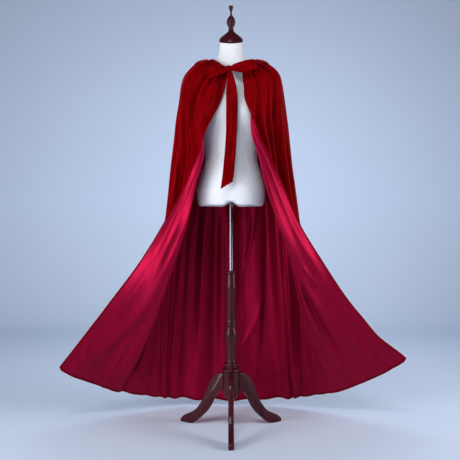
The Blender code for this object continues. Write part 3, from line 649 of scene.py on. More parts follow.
# Creases in both cloths, in millimetres: a plus stands out on the velvet, a minus towards the lining.
# Each has its height, its width before and after its line, and the points of that line: share down
# the cloak, and share across the cloth from the left front edge.
creases = [
    # left front above the turn-back: its edge curls in beside a soft ridge
    (24.0, 0.010, 0.024, [(0.03, 0.038), (0.08, 0.044), (0.13, 0.048), (0.19, 0.052), (0.24, 0.064)]),
    (5.0, 0.010, 0.012, [(0.05, 0.086), (0.12, 0.084), (0.20, 0.082), (0.30, 0.088)]),
    # left front, turned back: the band along its edge, the broad ridge and the trough beside it
    (-7.0, 0.022, 0.016, [(0.22, 0.030), (0.40, 0.030), (0.60, 0.027), (0.80, 0.024), (1.00, 0.020)]),
    (-13.0, 0.020, 0.012, [(0.40, 0.072), (0.52, 0.068), (0.62, 0.060), (0.72, 0.062), (0.80, 0.056),
                           (0.90, 0.044), (1.00, 0.034)]),
    (-27.0, 0.032, 0.009, [(0.42, 0.078), (0.55, 0.079), (0.66, 0.086), (0.74, 0.099), (0.86, 0.116),
                           (1.00, 0.132)]),
    (26.0, 0.009, 0.020, [(0.42, 0.097), (0.55, 0.098), (0.66, 0.105), (0.74, 0.118), (0.86, 0.134),
                          (1.00, 0.152)]),
    (-6.0, 0.006, 0.005, [(0.78, 0.070), (0.86, 0.078), (0.92, 0.088), (1.00, 0.098)]),
    (-5.0, 0.004, 0.004, [(0.80, 0.118), (0.88, 0.126), (0.97, 0.137)]),
    (-4.0, 0.004, 0.005, [(0.88, 0.012), (0.92, 0.022), (0.95, 0.034)]),
    (-4.0, 0.005, 0.004, [(0.86, 0.048), (0.93, 0.056), (0.98, 0.066)]),
    (-13.0, 0.014, 0.010, [(0.64, 0.200), (0.76, 0.190), (0.88, 0.186), (1.00, 0.190)]),
    (11.0, 0.012, 0.012, [(0.66, 0.232), (0.85, 0.228), (0.99, 0.236)]),
    # left front, over the arm
    (12.5, 0.008, 0.008, [(0.05, 0.133), (0.14, 0.136), (0.26, 0.136), (0.40, 0.130)]),
    (-18.8, 0.006, 0.006, [(0.07, 0.146), (0.18, 0.147), (0.34, 0.146), (0.48, 0.142)]),
    (11.0, 0.008, 0.007, [(0.06, 0.160), (0.20, 0.159), (0.38, 0.158), (0.56, 0.160)]),
    (-20.2, 0.006, 0.006, [(0.05, 0.173), (0.22, 0.172), (0.42, 0.172), (0.62, 0.176)]),
    (12.5, 0.008, 0.008, [(0.05, 0.188), (0.22, 0.187), (0.45, 0.188), (0.68, 0.194)]),
    (-20.2, 0.006, 0.006, [(0.08, 0.200), (0.25, 0.199), (0.48, 0.202), (0.72, 0.208)]),
    (12.5, 0.009, 0.007, [(0.06, 0.214), (0.28, 0.214), (0.52, 0.218), (0.78, 0.226)]),
    (-18.8, 0.006, 0.006, [(0.06, 0.229), (0.28, 0.229), (0.52, 0.234), (0.80, 0.244)]),
    (9.4, 0.008, 0.008, [(0.05, 0.246), (0.28, 0.246), (0.52, 0.252), (0.82, 0.266)]),
    (-9.4, 0.007, 0.007, [(0.08, 0.262), (0.32, 0.263), (0.60, 0.272), (0.86, 0.284)]),
    # right front, over the arm: smoother at the chest, then two deep folds
    (-7.8, 0.007, 0.008, [(0.05, 0.900), (0.12, 0.896), (0.20, 0.890), (0.30, 0.888)]),
    (9.4, 0.009, 0.007, [(0.08, 0.874), (0.18, 0.871), (0.30, 0.868), (0.42, 0.868)]),
    (-18.8, 0.006, 0.006, [(0.06, 0.862), (0.20, 0.859), (0.36, 0.857), (0.52, 0.855)]),
    (11.0, 0.007, 0.008, [(0.05, 0.850), (0.20, 0.847), (0.38, 0.845), (0.56, 0.842)]),
    (-23.5, 0.007, 0.007, [(0.07, 0.834), (0.25, 0.831), (0.45, 0.828), (0.66, 0.822)]),
    (12.5, 0.008, 0.009, [(0.05, 0.816), (0.25, 0.812), (0.46, 0.808), (0.70, 0.800)]),
    (-18.8, 0.006, 0.006, [(0.06, 0.800), (0.30, 0.796), (0.55, 0.790), (0.78, 0.782)]),
    (9.4, 0.008, 0.007, [(0.05, 0.782), (0.30, 0.778), (0.56, 0.772), (0.82, 0.762)]),
    (-11.0, 0.008, 0.007, [(0.08, 0.764), (0.35, 0.760), (0.60, 0.752), (0.84, 0.742)]),
    (9.4, 0.008, 0.008, [(0.06, 0.744), (0.35, 0.740), (0.60, 0.732), (0.88, 0.722)]),
    # right front, turned back: creases run out from the waist to hem and corner
    (-5.0, 0.010, 0.012, [(0.30, 0.972), (0.45, 0.972), (0.62, 0.974), (0.80, 0.978), (1.00, 0.984)]),
    (-14.0, 0.008, 0.010, [(0.60, 0.924), (0.66, 0.932), (0.74, 0.938), (0.84, 0.932), (0.94, 0.926)]),
    (13.0, 0.008, 0.007, [(0.62, 0.914), (0.70, 0.922), (0.80, 0.920), (0.90, 0.914)]),
    (-11.0, 0.006, 0.008, [(0.60, 0.916), (0.68, 0.908), (0.76, 0.902), (0.86, 0.900), (0.96, 0.900)]),
    (-11.0, 0.007, 0.007, [(0.55, 0.900), (0.66, 0.880), (0.78, 0.864), (0.97, 0.850)]),
    (13.0, 0.010, 0.010, [(0.55, 0.880), (0.70, 0.852), (0.85, 0.838), (0.99, 0.828)]),
    (-11.0, 0.008, 0.008, [(0.70, 0.822), (0.82, 0.808), (0.98, 0.800)]),
    (-5.0, 0.006, 0.005, [(0.58, 0.940), (0.64, 0.955), (0.68, 0.968)]),
    (-4.0, 0.003, 0.004, [(0.70, 0.900), (0.80, 0.885), (0.90, 0.876)]),
    (-7.0, 0.009, 0.008, [(0.72, 0.952), (0.84, 0.954), (0.98, 0.958)]),
    # inside of the back: the bright ridge with its valley, two thin slanting ones, and soft upright ones
    (15.0, 0.006, 0.022, [(0.36, 0.594), (0.48, 0.590), (0.62, 0.582), (0.74, 0.575), (0.86, 0.564),
                          (1.00, 0.552)]),
    (-28.0, 0.062, 0.020, [(0.36, 0.694), (0.50, 0.692), (0.62, 0.688), (0.76, 0.680), (0.88, 0.668),
                           (1.00, 0.656)]),
    (9.0, 0.006, 0.010, [(0.50, 0.641), (0.56, 0.641), (0.62, 0.640), (0.68, 0.640)]),
    (-7.0, 0.005, 0.005, [(0.42, 0.566), (0.50, 0.556), (0.58, 0.540), (0.66, 0.524)]),
    (-7.0, 0.005, 0.005, [(0.68, 0.574), (0.76, 0.560), (0.86, 0.524), (0.95, 0.505)]),
    (-8.0, 0.010, 0.010, [(0.40, 0.682), (0.60, 0.684), (0.80, 0.680), (0.98, 0.676)]),
    (8.0, 0.012, 0.012, [(0.44, 0.690), (0.70, 0.704), (0.97, 0.710)]),
    (-12.0, 0.010, 0.010, [(0.40, 0.428), (0.60, 0.430), (0.80, 0.436), (0.97, 0.440)]),
    (13.0, 0.010, 0.009, [(0.36, 0.455), (0.60, 0.461), (0.80, 0.463), (1.00, 0.464)]),
    (-12.0, 0.008, 0.008, [(0.40, 0.474), (0.60, 0.478), (0.85, 0.481), (0.97, 0.484)]),
    (-8.0, 0.011, 0.009, [(0.38, 0.370), (0.55, 0.368), (0.80, 0.364), (1.00, 0.360)]),
    (10.0, 0.012, 0.010, [(0.40, 0.395), (0.60, 0.396), (0.85, 0.398), (1.00, 0.400)]),
    (-7.0, 0.010, 0.010, [(0.42, 0.326), (0.60, 0.322), (0.85, 0.316), (0.98, 0.312)]),
    # outside of the back, above the arms
    (7.0, 0.010, 0.010, [(0.06, 0.318), (0.20, 0.322), (0.36, 0.330), (0.55, 0.340)]),
    (-7.0, 0.008, 0.008, [(0.08, 0.344), (0.22, 0.346), (0.40, 0.350), (0.60, 0.352)]),
    (7.0, 0.010, 0.010, [(0.22, 0.410), (0.34, 0.412), (0.52, 0.414), (0.70, 0.418)]),
    (-8.0, 0.009, 0.009, [(0.22, 0.500), (0.36, 0.502), (0.60, 0.506), (0.90, 0.514)]),
    (7.0, 0.010, 0.010, [(0.22, 0.530), (0.34, 0.532), (0.50, 0.536)]),
    (-7.0, 0.009, 0.009, [(0.08, 0.652), (0.22, 0.650), (0.40, 0.652), (0.58, 0.652)]),
    (7.0, 0.009, 0.010, [(0.06, 0.684), (0.22, 0.680), (0.40, 0.678), (0.60, 0.682)]),
]
creaseFade = {
    "top": 0.30,            # of its length
    "bottom": 0.35,
    "hem": (0.65, 0.90, 0.10),      # calmer at the hem: by, from this share, over this length
}

# fine gathers that run out from the neckline, and small creases between the folds
gathers = {
    "count": 74,
    "between": (0.006, 0.994),
    "jitter": 0.0035,
    "height": (0.0008, 0.0028),
    "length": (0.040, 0.140),
    "width": 0.0044,
    "start": 0.012,
}
smallCreases = {
    "count": 70,
    "across": (0.02, 0.98),
    "middle": (0.12, 1.0),
    "length": (0.08, 0.30),
    "height": (0.0008, 0.0022),
    "width": (0.0030, 0.0060),
    "slant": 0.020,
}
# larger gathers under the neck band: where they start and end across, how far down, height in mm, width
handGathers = [
    (0.030, 0.026, 0.070, 5.2, 0.0060), (0.046, 0.046, 0.100, -5.9, 0.0055),
    (0.060, 0.064, 0.130, 6.5, 0.0065), (0.074, 0.080, 0.110, -6.5, 0.0055),
    (0.090, 0.100, 0.150, 6.5, 0.0060), (0.104, 0.118, 0.120, -7.2, 0.0055),
    (0.118, 0.132, 0.160, 6.5, 0.0065), (0.134, 0.148, 0.110, -6.5, 0.0060),
    (0.150, 0.160, 0.140, 5.9, 0.0065), (0.168, 0.176, 0.120, -6.5, 0.0060),
    (0.186, 0.190, 0.150, 5.9, 0.0070), (0.206, 0.204, 0.110, -5.9, 0.0060),
    (0.228, 0.222, 0.130, 5.2, 0.0070), (0.252, 0.246, 0.120, -5.9, 0.0060),
    (0.280, 0.272, 0.110, 5.2, 0.0065), (0.720, 0.728, 0.110, 5.2, 0.0065),
    (0.748, 0.756, 0.130, -5.9, 0.0060), (0.770, 0.778, 0.120, 5.2, 0.0070),
    (0.792, 0.798, 0.150, -5.9, 0.0060), (0.812, 0.814, 0.120, 6.5, 0.0065),
    (0.830, 0.826, 0.160, -7.2, 0.0065), (0.848, 0.842, 0.120, 6.5, 0.0060),
    (0.864, 0.856, 0.150, -7.2, 0.0060), (0.880, 0.870, 0.130, 5.9, 0.0065),
    (0.896, 0.884, 0.090, -4.5, 0.0060), (0.914, 0.902, 0.075, 3.9, 0.0070),
    (0.934, 0.926, 0.085, -3.9, 0.0060), (0.952, 0.948, 0.065, 4.5, 0.0060),
    (0.970, 0.968, 0.080, -3.9, 0.0055),
]
handFade = {
    "lean": (0.15, 1.5),        # they have leant over by this share, and go on to 1.5 times as far
    "start": (0.004, 0.030),    # from this share, over this length
}
# narrow upright folds over both arms, drawn at random between these limits
armFolds = {
    "count": 46,
    "sides": ((0.118, 0.275), (0.725, 0.885)),
    "middle": (0.14, 0.62),
    "length": (0.12, 0.34),
    "height": (0.0022, 0.0050),
    "width": (0.0026, 0.0044),
    "slant": 0.010,
}


def drawCreases(limits, centres):
    # middle, length, height, width and slant of each, in this order of draws
    count, slant = limits["count"], limits["slant"]
    middles = draw.uniform(*limits["middle"], count)
    lengths = draw.uniform(*limits["length"], count)
    heights = draw.uniform(*limits["height"], count) * draw.choice([-1, 1], count)
    widths = draw.uniform(*limits["width"], count)
    return list(zip(centres, middles, lengths, heights, widths, draw.uniform(-slant, slant, count)))


armSides = draw.integers(0, 2, armFolds["count"])
armCentres = np.array([draw.uniform(*armFolds["sides"][side]) for side in armSides])
armCreases = drawCreases(armFolds, armCentres)
gatherCentres = np.linspace(*gathers["between"], gathers["count"])
gatherCentres = gatherCentres + draw.uniform(-gathers["jitter"], gathers["jitter"], gathers["count"])
gatherHeights = draw.uniform(*gathers["height"], gathers["count"])
gatherLengths = draw.uniform(*gathers["length"], gathers["count"])
fineCreases = drawCreases(smallCreases, draw.uniform(*smallCreases["across"], smallCreases["count"]))


def creaseHeight(across, shares):
    total = np.zeros_like(across)
    calmBy, calmFrom, calmOver = creaseFade["hem"]
    calm = 1 - calmBy * ease((shares - calmFrom) / calmOver)
    for height, before, after, path in creases:
        path = np.array(path)
        shareKnots, acrossKnots = path[:, 0], path[:, 1]
        inside = np.clip(shares, shareKnots[0], shareKnots[-1])
        centre = smoothThrough(shareKnots, acrossKnots[:, None], inside)[:, 0]
        length = shareKnots[-1] - shareKnots[0]
        fade = ease((shares - shareKnots[0]) / (creaseFade["top"] * length))
        if shareKnots[-1] < 1.0:
            fade = fade * ease((shareKnots[-1] - shares) / (creaseFade["bottom"] * length))
        off = across - centre
        wide = np.where(off < 0, before, after)
        total += height / 1000 * fade * calm * np.exp(-(off / wide) ** 2)
    leanOver, leanTo = handFade["lean"]
    startAt, startOver = handFade["start"]
    for start, end, length, height, width in handGathers:
        off = across - start - (end - start) * np.clip(shares / leanOver, 0, leanTo)
        ridge = height / 1000 * np.exp(-(off / width) ** 2) * np.exp(-(shares / length) ** 2)
        total += ridge * ease((shares - startAt) / startOver)
    for centre, height, length in zip(gatherCentres, gatherHeights, gatherLengths):
        off = across - centre
        ridge = height * np.exp(-(off / gathers["width"]) ** 2) * np.exp(-(shares / length) ** 2)
        total += ridge * ease(shares / gathers["start"])
    for centre, middle, length, height, width, slant in fineCreases + armCreases:
        off = across - centre - slant * (shares - middle)
        total += height * np.exp(-(off / width) ** 2 - ((shares - middle) / length) ** 2)
    return total


hem = {
    "drop": (0.0100, 0.040, 0.055),    # the corners hang lower: share, centre from the edge, width
    "dropFrom": (0.80, 0.20),          # from this share down, over this length
    "corner": (0.006, 0.004),          # and are cut round: share, width
    "straight": (0.021, 0.050, 0.90, 0.07),  # the right edge drawn in: metres, width across, share, width
    "calm": 0.60,                      # how much the folds of both fronts flatten towards the hem
    "calmAcross": (0.34, 0.08),        # from this far across, over this width
    "calmDown": (0.78, 0.22),          # from this share down, over this length
    # small corrections of the front edges: side (0 left, 1 right), share, metres sideways, reach down,
    # reach across
    "edgeShifts": [
        (1, 0.130, -0.009, 0.024, 0.040), (1, 0.185, 0.006, 0.022, 0.040), (1, 0.060, 0.002, 0.020, 0.030),
    ],
}
ripple = {  # the stitched hem and front edges pucker a little
    "height": 0.0005,
    "hemReach": 0.012,
    "edgeReach": 0.008,
    "edgeFrom": (0.02, 0.05),
    "hemWaves": (900, 2.1, 61),
    "edgeWaves": (420, 1.7, 37),
}


def hemRipple(across, shares):
    toEdge = np.minimum(across, 1 - across)
    start, over = ripple["edgeFrom"]
    hemShare = np.exp(-((1 - shares) / ripple["hemReach"]) ** 2)
    edgeShare = np.exp(-(toEdge / ripple["edgeReach"]) ** 2) * ease((shares - start) / over)
    wobble = unevenWave(across, ripple["hemWaves"]) * hemShare
    return ripple["height"] * (wobble + unevenWave(shares, ripple["edgeWaves"]) * edgeShare)


def hemShares(across, shares):
    toEdge = np.minimum(across, 1 - across)
    drop, centre, width = hem["drop"]
    cut, cutWidth = hem["corner"]
    start, over = hem["dropFrom"]
    reach = drop * np.exp(-((toEdge - centre) / width) ** 2) - cut * np.exp(-(toEdge / cutWidth) ** 2)
    return shares * (1 + reach * ease((shares - start) / over))


def cloakPoints(across, shares):
    far, wide = hem["calmAcross"]
    start, over = hem["calmDown"]
    sideways = ease((far - np.minimum(across, 1 - across)) / wide)
    calm = 1 - hem["calm"] * sideways * ease((shares - start) / over)
    height = foldHeight(across, shares) * calm + creaseHeight(across, shares) + hemRipple(across, shares)
    lower = hemShares(across, shares)
    normals = smoothNormals(across, np.minimum(lower, 1.0))
    points = smoothCloak(across, lower) + normals * height[:, None] + axisPoint
    for side, share, shift, down, wide in hem["edgeShifts"]:
        points[:, 0] += shift * np.exp(-((shares - share) / down) ** 2 - ((across - side) / wide) ** 2)
    pull, width, share, length = hem["straight"]
    points[:, 0] -= pull * np.exp(-((1 - across) / width) ** 2 - ((shares - share) / length) ** 2)
    return points


def cloakGrid(acrossPlaces, sharePlaces):
    across, shares = np.meshgrid(acrossPlaces, sharePlaces)
    return cloakPoints(across.ravel(), shares.ravel()).reshape(len(sharePlaces), len(acrossPlaces), 3)


panels = [  # name, node, and the two of the lines 0 to 3 that it lies between: edge, seam, seam, edge
    ("FrontLeft", "front_left", 0, 1),
    ("Back", "back", 1, 2),
    ("FrontRight", "front_right", 2, 3),
]


def makePanels():
    # each side seam lies where a fold starts, or a quarter, a half or three quarters through one
    folds = np.concatenate([foldEnds[:-1] + (foldEnds[1:] - foldEnds[:-1]) * k / 4 for k in range(4)])
    ends = [0.0] + [float(folds[np.argmin(np.abs(folds - seam))]) for seam in cloak["sideSeams"]] + [1.0]
    fine = np.linspace(0.0, cloak["neckShare"], cloak["neckRows"])
    coarse = np.linspace(cloak["neckShare"], 1.0, cloak["rows"] - cloak["neckRows"] + 1)
    shares = np.concatenate([fine, coarse[1:]])
    half = place["touch"] / 2
    for label, node, first, last in panels:
        count = int(round((ends[last] - ends[first]) * cloak["columns"]))
        across = np.linspace(ends[first], ends[last], count + 1)
        across[0] += half / 2 if first else 0.0
        across[-1] -= half / 2 if last < 3 else 0.0
        points = cloakGrid(across, shares)
        normals = gridNormals(points)
        seamDip = np.zeros(len(across))
        for end, sewn in ((across[0], first > 0), (across[-1], last < 3)):
            if sewn:
                seamDip += cloak["seamDip"] * np.exp(-((across - end) / cloak["seamWidth"]) ** 2)
        points = points - normals * seamDip[None, :, None]
        length = max(lineLength(points[:, k]) for k in (0, count // 2, count))
        area = sheetArea(points)
        flat = (round(lineLength(points[-1]), 2), round(length, 2))
        print(label, "flat", flat, "area", round(area, 3))
        outside = clothWall("velvet" + label, points, half, half + cloak["velvetWall"], velvet)
        fit(outside, "form", "velvet", "cloak_" + node)
        inside = clothWall("lining" + label, points, -half - cloak["liningWall"], -half, satin)
        fit(inside, "form", "satin", "lining_" + node)


makePanels()
print("cloak panels and linings sewn")

# the velvet turned in along the free edges
edgeTurn = {
    "outside": 0.0045,   # how far it lies on the velvet
    "inside": 0.0050,    # and on the lining
    "lift": 0.0022,
    "wall": 0.0007,
    "bulge": 0.9,
    "arcSteps": 6,
    "from": 0.012,
    "edgeSteps": 260,
    "hemSteps": 520,
}
frontEdges = (("Left", 0.0, 0.0012), ("Right", 1.0, -0.0012))  # name, place across, small step into the cloth
hemStep = -0.002


def edgeFrame(across, shares, inwardAcross, inwardShares):
    # points on the rim of the cloth, with the way into the cloth and the way out of the velvet
    here = cloakPoints(across, shares)
    into = unitRows(cloakPoints(across + inwardAcross, shares + inwardShares) - here)
    run = unitRows(np.gradient(here, axis=0))
    out = np.cross(run, into)
    toward = (smoothNormals(across, shares) * out).sum(axis=1, keepdims=True)
    return here, into, unitRows(out * np.sign(toward))


def turnStrip(name, here, into, out):
    lift, wall = edgeTurn["lift"], edgeTurn["wall"]
    section = [(edgeTurn["outside"], lift), (0.0, lift)]
    for k in range(1, edgeTurn["arcSteps"]):
        turn = math.pi * k / edgeTurn["arcSteps"]
        section.append((-lift * math.sin(turn) * edgeTurn["bulge"], lift * math.cos(turn)))
    section += [(0.0, -lift), (edgeTurn["inside"], -lift)]
    points = np.stack([here + into * along + out * away for along, away in section])
    fit(clothWall(name, points, -wall / 2, wall / 2, velvet), "form", "velvet")


def makeEdgeTurns():
    sides = np.linspace(edgeTurn["from"], 1.0, edgeTurn["edgeSteps"])
    for label, edge, inward in frontEdges:
        turnStrip("edgeTurn" + label, *edgeFrame(np.full_like(sides, edge), sides, inward, 0.0))
    across = np.linspace(0.0, 1.0, edgeTurn["hemSteps"])
    turnStrip("hemTurn", *edgeFrame(across, np.full_like(across, 1.0), 0.0, hemStep))


makeEdgeTurns()

stitch = {
    "pitch": 0.0042,
    "length": 0.0031,
    "radius": 0.00034,
    "inside": 0.0095,    # from the edge
    "sides": 5,
    "taper": 0.22,       # of the length, at both ends
    "raised": 0.5,       # of the radius
    "sunk": 0.4,
    "edge": (0.20, 0.985, 500),     # from, to, points of the line
    "hem": (0.006, 0.994, 900),
}


def stitchRow(name, points, out):
    # short threads, one after another along a line of points; out is the way off the cloth
    steps = np.concatenate([[0.0], np.cumsum(np.linalg.norm(np.diff(points, axis=0), axis=1))])
    places = np.arange(stitch["pitch"], steps[-1] - stitch["pitch"], stitch["pitch"])

    def along(values, at):
        return np.stack([np.interp(at, steps, values[:, axis]) for axis in range(3)], axis=1)

    ends = [along(points, places + k * stitch["length"] / 2) for k in (-1, 1)]
    lift = unitRows(along(out, places))
    run = unitRows(ends[1] - ends[0])
    side = np.cross(run, lift)
    sides, radius = stitch["sides"], stitch["radius"]
    rings = []
    for end, inward in ((ends[0], stitch["taper"]), (ends[1], -stitch["taper"])):
        centre = end + run * inward * stitch["length"] + lift * radius * stitch["raised"]
        for angle in 2 * math.pi * np.arange(sides) / sides:
            rings.append(centre + side * math.cos(angle) * radius + lift * math.sin(angle) * radius)
    rings += [end - lift * radius * stitch["sunk"] for end in ends]
    corners = np.stack(rings, axis=1)
    each = corners.shape[1]
    faces = []
    for base in range(0, len(places) * each, each):
        for k in range(sides):
            n = (k + 1) % sides
            faces.append([base + k, base + n, base + sides + n, base + sides + k])
            faces.append([base + n, base + k, base + 2 * sides])
            faces.append([base + sides + k, base + sides + n, base + 2 * sides + 1])
    fit(meshFrom(name, corners.reshape(-1, 3), faces, thread), "form", "satin")


def insideLine(across, shares, stepAcross, stepShares):
    # the same line moved into the cloth by the stitches' distance, on the lining's face
    distance = stitch["inside"]
    here, _, out = edgeFrame(across, shares, stepAcross, stepShares)
    reach = np.linalg.norm(cloakPoints(across + stepAcross, shares + stepShares) - here, axis=1)
    points = cloakPoints(across + stepAcross * distance / reach, shares + stepShares * distance / reach)
    return points - out * (place["touch"] / 2 + cloak["liningWall"]), -out


def makeStitches():
    sides = np.linspace(*stitch["edge"])
    for label, edge, inward in frontEdges:
        stitchRow("edgeStitches" + label, *insideLine(np.full_like(sides, edge), sides, inward, 0.0))
    across = np.linspace(*stitch["hem"])
    stitchRow("hemStitches", *insideLine(across, np.full_like(across, 1.0), 0.0, hemStep))


makeStitches()
print("edges turned and stitched")

# hood
hood = {
    "from": 0.165,          # across the neckline
    "to": 0.835,
    "steps": 150,
    "rows": 90,
    "start": 0.0105,        # share of the cloak's length
    "clear": 0.0016,        # off the cloak's back
    "seamClear": 0.0011,    # and where it is sewn on
    "foldClear": 1.2,       # of the usual depth of the folds under it
    "depthSide": 0.022,
    "depthBack": 0.215,
    "depthGrowth": 4,
    "bellySide": 0.0032,
    "bellyBack": 0.080,
    "bellyGrowth": 7,
    # down and back up one section: share of the depth, share of the belly
    "section": [
        (0.00, 0.00), (0.08, 0.00), (0.18, 0.00), (0.34, 0.00), (0.62, 0.02), (0.88, 0.08), (1.00, 0.24),
        (1.03, 0.46), (0.94, 0.70), (0.74, 0.90), (0.48, 1.00), (0.24, 1.00), (0.08, 0.94),
    ],
    "folds": [  # height in mm, width across, path of (row share, across)
        (-5.0, 0.020, [(0.45, 0.40), (0.70, 0.42), (1.00, 0.44)]),
        (4.0, 0.018, [(0.50, 0.36), (0.75, 0.37), (1.00, 0.38)]),
        (-5.0, 0.022, [(0.48, 0.60), (0.72, 0.58), (1.00, 0.57)]),
        (4.0, 0.018, [(0.50, 0.655), (0.75, 0.64), (1.00, 0.62)]),
        (-3.0, 0.016, [(0.52, 0.30), (0.78, 0.31), (1.00, 0.32)]),
        (-3.0, 0.016, [(0.52, 0.71), (0.78, 0.70), (1.00, 0.69)]),
    ],
    "foldStart": 0.25,      # each fold comes in over this share of the rows
    "middleGap": 0.05,      # of a step, on either side of the middle
    "halfFlat": (0.40, 0.62),
    "liningFlat": (0.80, 0.62),
}


def hoodPoints():
    across = np.linspace(hood["from"], hood["to"], hood["steps"] + 1)
    swell = np.sin(math.pi * (across - hood["from"]) / (hood["to"] - hood["from"]))
    depth = hood["depthSide"] + (hood["depthBack"] - hood["depthSide"]) * swell ** hood["depthGrowth"]
    belly = hood["bellySide"] + (hood["bellyBack"] - hood["bellySide"]) * swell ** hood["bellyGrowth"]
    table = np.array(hood["section"])
    knots = np.linspace(0.0, 1.0, len(table))
    along = np.linspace(0.0, 1.0, hood["rows"])
    rows = []
    for t in along:
        drop, standOff = smoothThrough(knots, table, [t])[0]
        shares = hood["start"] + depth * drop
        away = float(ease(t * (len(table) - 1)))
        clear = hood["seamClear"] + (hood["clear"] - hood["seamClear"]) * away
        lift = usualDepth(shares) * hood["foldClear"] + cloak["velvetWall"] * 2 + clear + belly * standOff
        rows.append(smoothCloak(across, shares) + smoothNormals(across, shares) * lift[:, None] + axisPoint)
    points = np.stack(rows)
    height = np.zeros((len(along), len(across)))
    for size, width, path in hood["folds"]:
        path = np.array(path)
        centre = np.interp(along, path[:, 0], path[:, 1])
        fade = ease((along - path[0, 0]) / hood["foldStart"])
        height += size / 1000 * fade[:, None] * np.exp(-((across[None, :] - centre[:, None]) / width) ** 2)
    return points + gridNormals(points) * height[:, :, None]


def makeHood():
    points = hoodPoints()
    normals = gridNormals(points)
    middle = hood["steps"] // 2
    half = place["touch"] / 2
    for name, node, first, last in (("hoodLeft", "hood_left", 0, middle),
                                    ("hoodRight", "hood_right", middle, hood["steps"])):
        part = points[:, first:last + 1].copy()
        if first:
            part[:, 0] += (part[:, 1] - part[:, 0]) * hood["middleGap"]
        else:
            part[:, -1] += (part[:, -2] - part[:, -1]) * hood["middleGap"]
        piece = clothWall(name, part, -half - cloak["velvetWall"], -half, velvet, normals[:, first:last + 1])
        fit(piece, "form", "velvet", node)
        area = round(sheetArea(part), 3)
        print(name, "area", area)
    piece = clothWall("hoodLining", points, half, half + cloak["liningWall"], satin, normals)
    fit(piece, "form", "satin", "hood_lining")
    area = round(sheetArea(points), 3)
    print("hoodLining area", area)


makeHood()
print("hood hung")

# neck band, bow and tails
band = {
    "from": -0.0022,
    "to": 0.0080,
    "steps": 260,
    "rows": 9,
    "clear": 0.0010,
    "raised": 0.0006,
    "wall": 0.0016,
    "slopeStep": 0.002,         # above the neckline it goes on at the slope of this share
    "pucker": 0.0004,
    "puckerWaves": (640, 3, 47),
    "end": (0.16, 0.32, 0.48, 0.65, 0.82, 0.99),    # on from the right edge to behind the knot
}
knot = {
    "at": (-0.0086, -0.1275, 1.5930),
    "size": (0.036, 0.026, 0.029),
    "sides": (56, 40),
    "blunt": 0.8,           # below 1 is squarer than a ball
    "wrap": 0.035,          # depth of the grooves where the ribbon goes round
    "wrapTurns": (8.0, 0.8),
}


def makeBand():
    across = np.linspace(0.0, 1.0, band["steps"] + 1)
    step = band["slopeStep"]
    rows = []
    for k, share in enumerate(np.linspace(band["from"], band["to"], band["rows"])):
        inside = np.full_like(across, max(share, 0.0))
        line = smoothCloak(across, inside)
        if share < 0:
            line = line + (smoothCloak(across, inside + step) - line) * share / step
        midBand = math.sin(math.pi * k / (band["rows"] - 1))
        pucker = band["pucker"] * unevenWave(across, band["puckerWaves"]) * midBand
        lift = usualDepth(inside) + cloak["velvetWall"] + band["clear"] + pucker + band["raised"]
        line = line + smoothNormals(across, inside) * lift[:, None]
        behind = np.array([knot["at"][0], knot["at"][1] + knot["size"][1] / 2 + band["wall"], line[-1][2]])
        ends = [line[-1] + (behind - line[-1]) * part for part in band["end"]]
        rows.append(np.concatenate([line, ends]) + axisPoint)
    points = np.stack(rows)
    piece = fit(clothWall("neckBand", points, 0.0, band["wall"], ribbonVelvet), "form", "ribbon", "neck_band")
    length = lineLength(points[4])
    width = lineLength(points[:, 40])
    print("band", round(length, 3), round(width, 4))


loops = [  # tip is sideways and up, the flat size is width and length
    {
        "name": "bowLoopLeft", "node": "bow_loop_left", "tip": (-0.1030, 1.5740), "root": 0.0148,
        "knotWidth": 0.022, "tipWidth": 0.052, "depth": 0.036, "backY": -0.1285, "pinch": 0.72, "sag": 0.012,
        "flat": (0.046, 0.22),
    },
    {
        "name": "bowLoopRight", "node": "bow_loop_right", "tip": (0.1060, 1.6040), "root": 0.0140,
        "knotWidth": 0.022, "tipWidth": 0.056, "depth": 0.038, "backY": -0.1295, "pinch": 0.34, "sag": -0.006,
        "flat": (0.046, 0.25),
    },
]
loopShape = {
    "mouth": 0.30,          # where the ribbon leaves the knot, as an angle
    "rootDepth": 0.25,      # depth there, as a share of the tip's
    "droop": 0.004,
    "wall": 0.0015,
    "steps": 96,
    "rows": 25,
    "knotReach": 0.45,      # how far the creases of the knot run
    "knotCreases": (0.0026, 20, 1.2),
    "loopCreases": (0.0040, 7, 3),
}


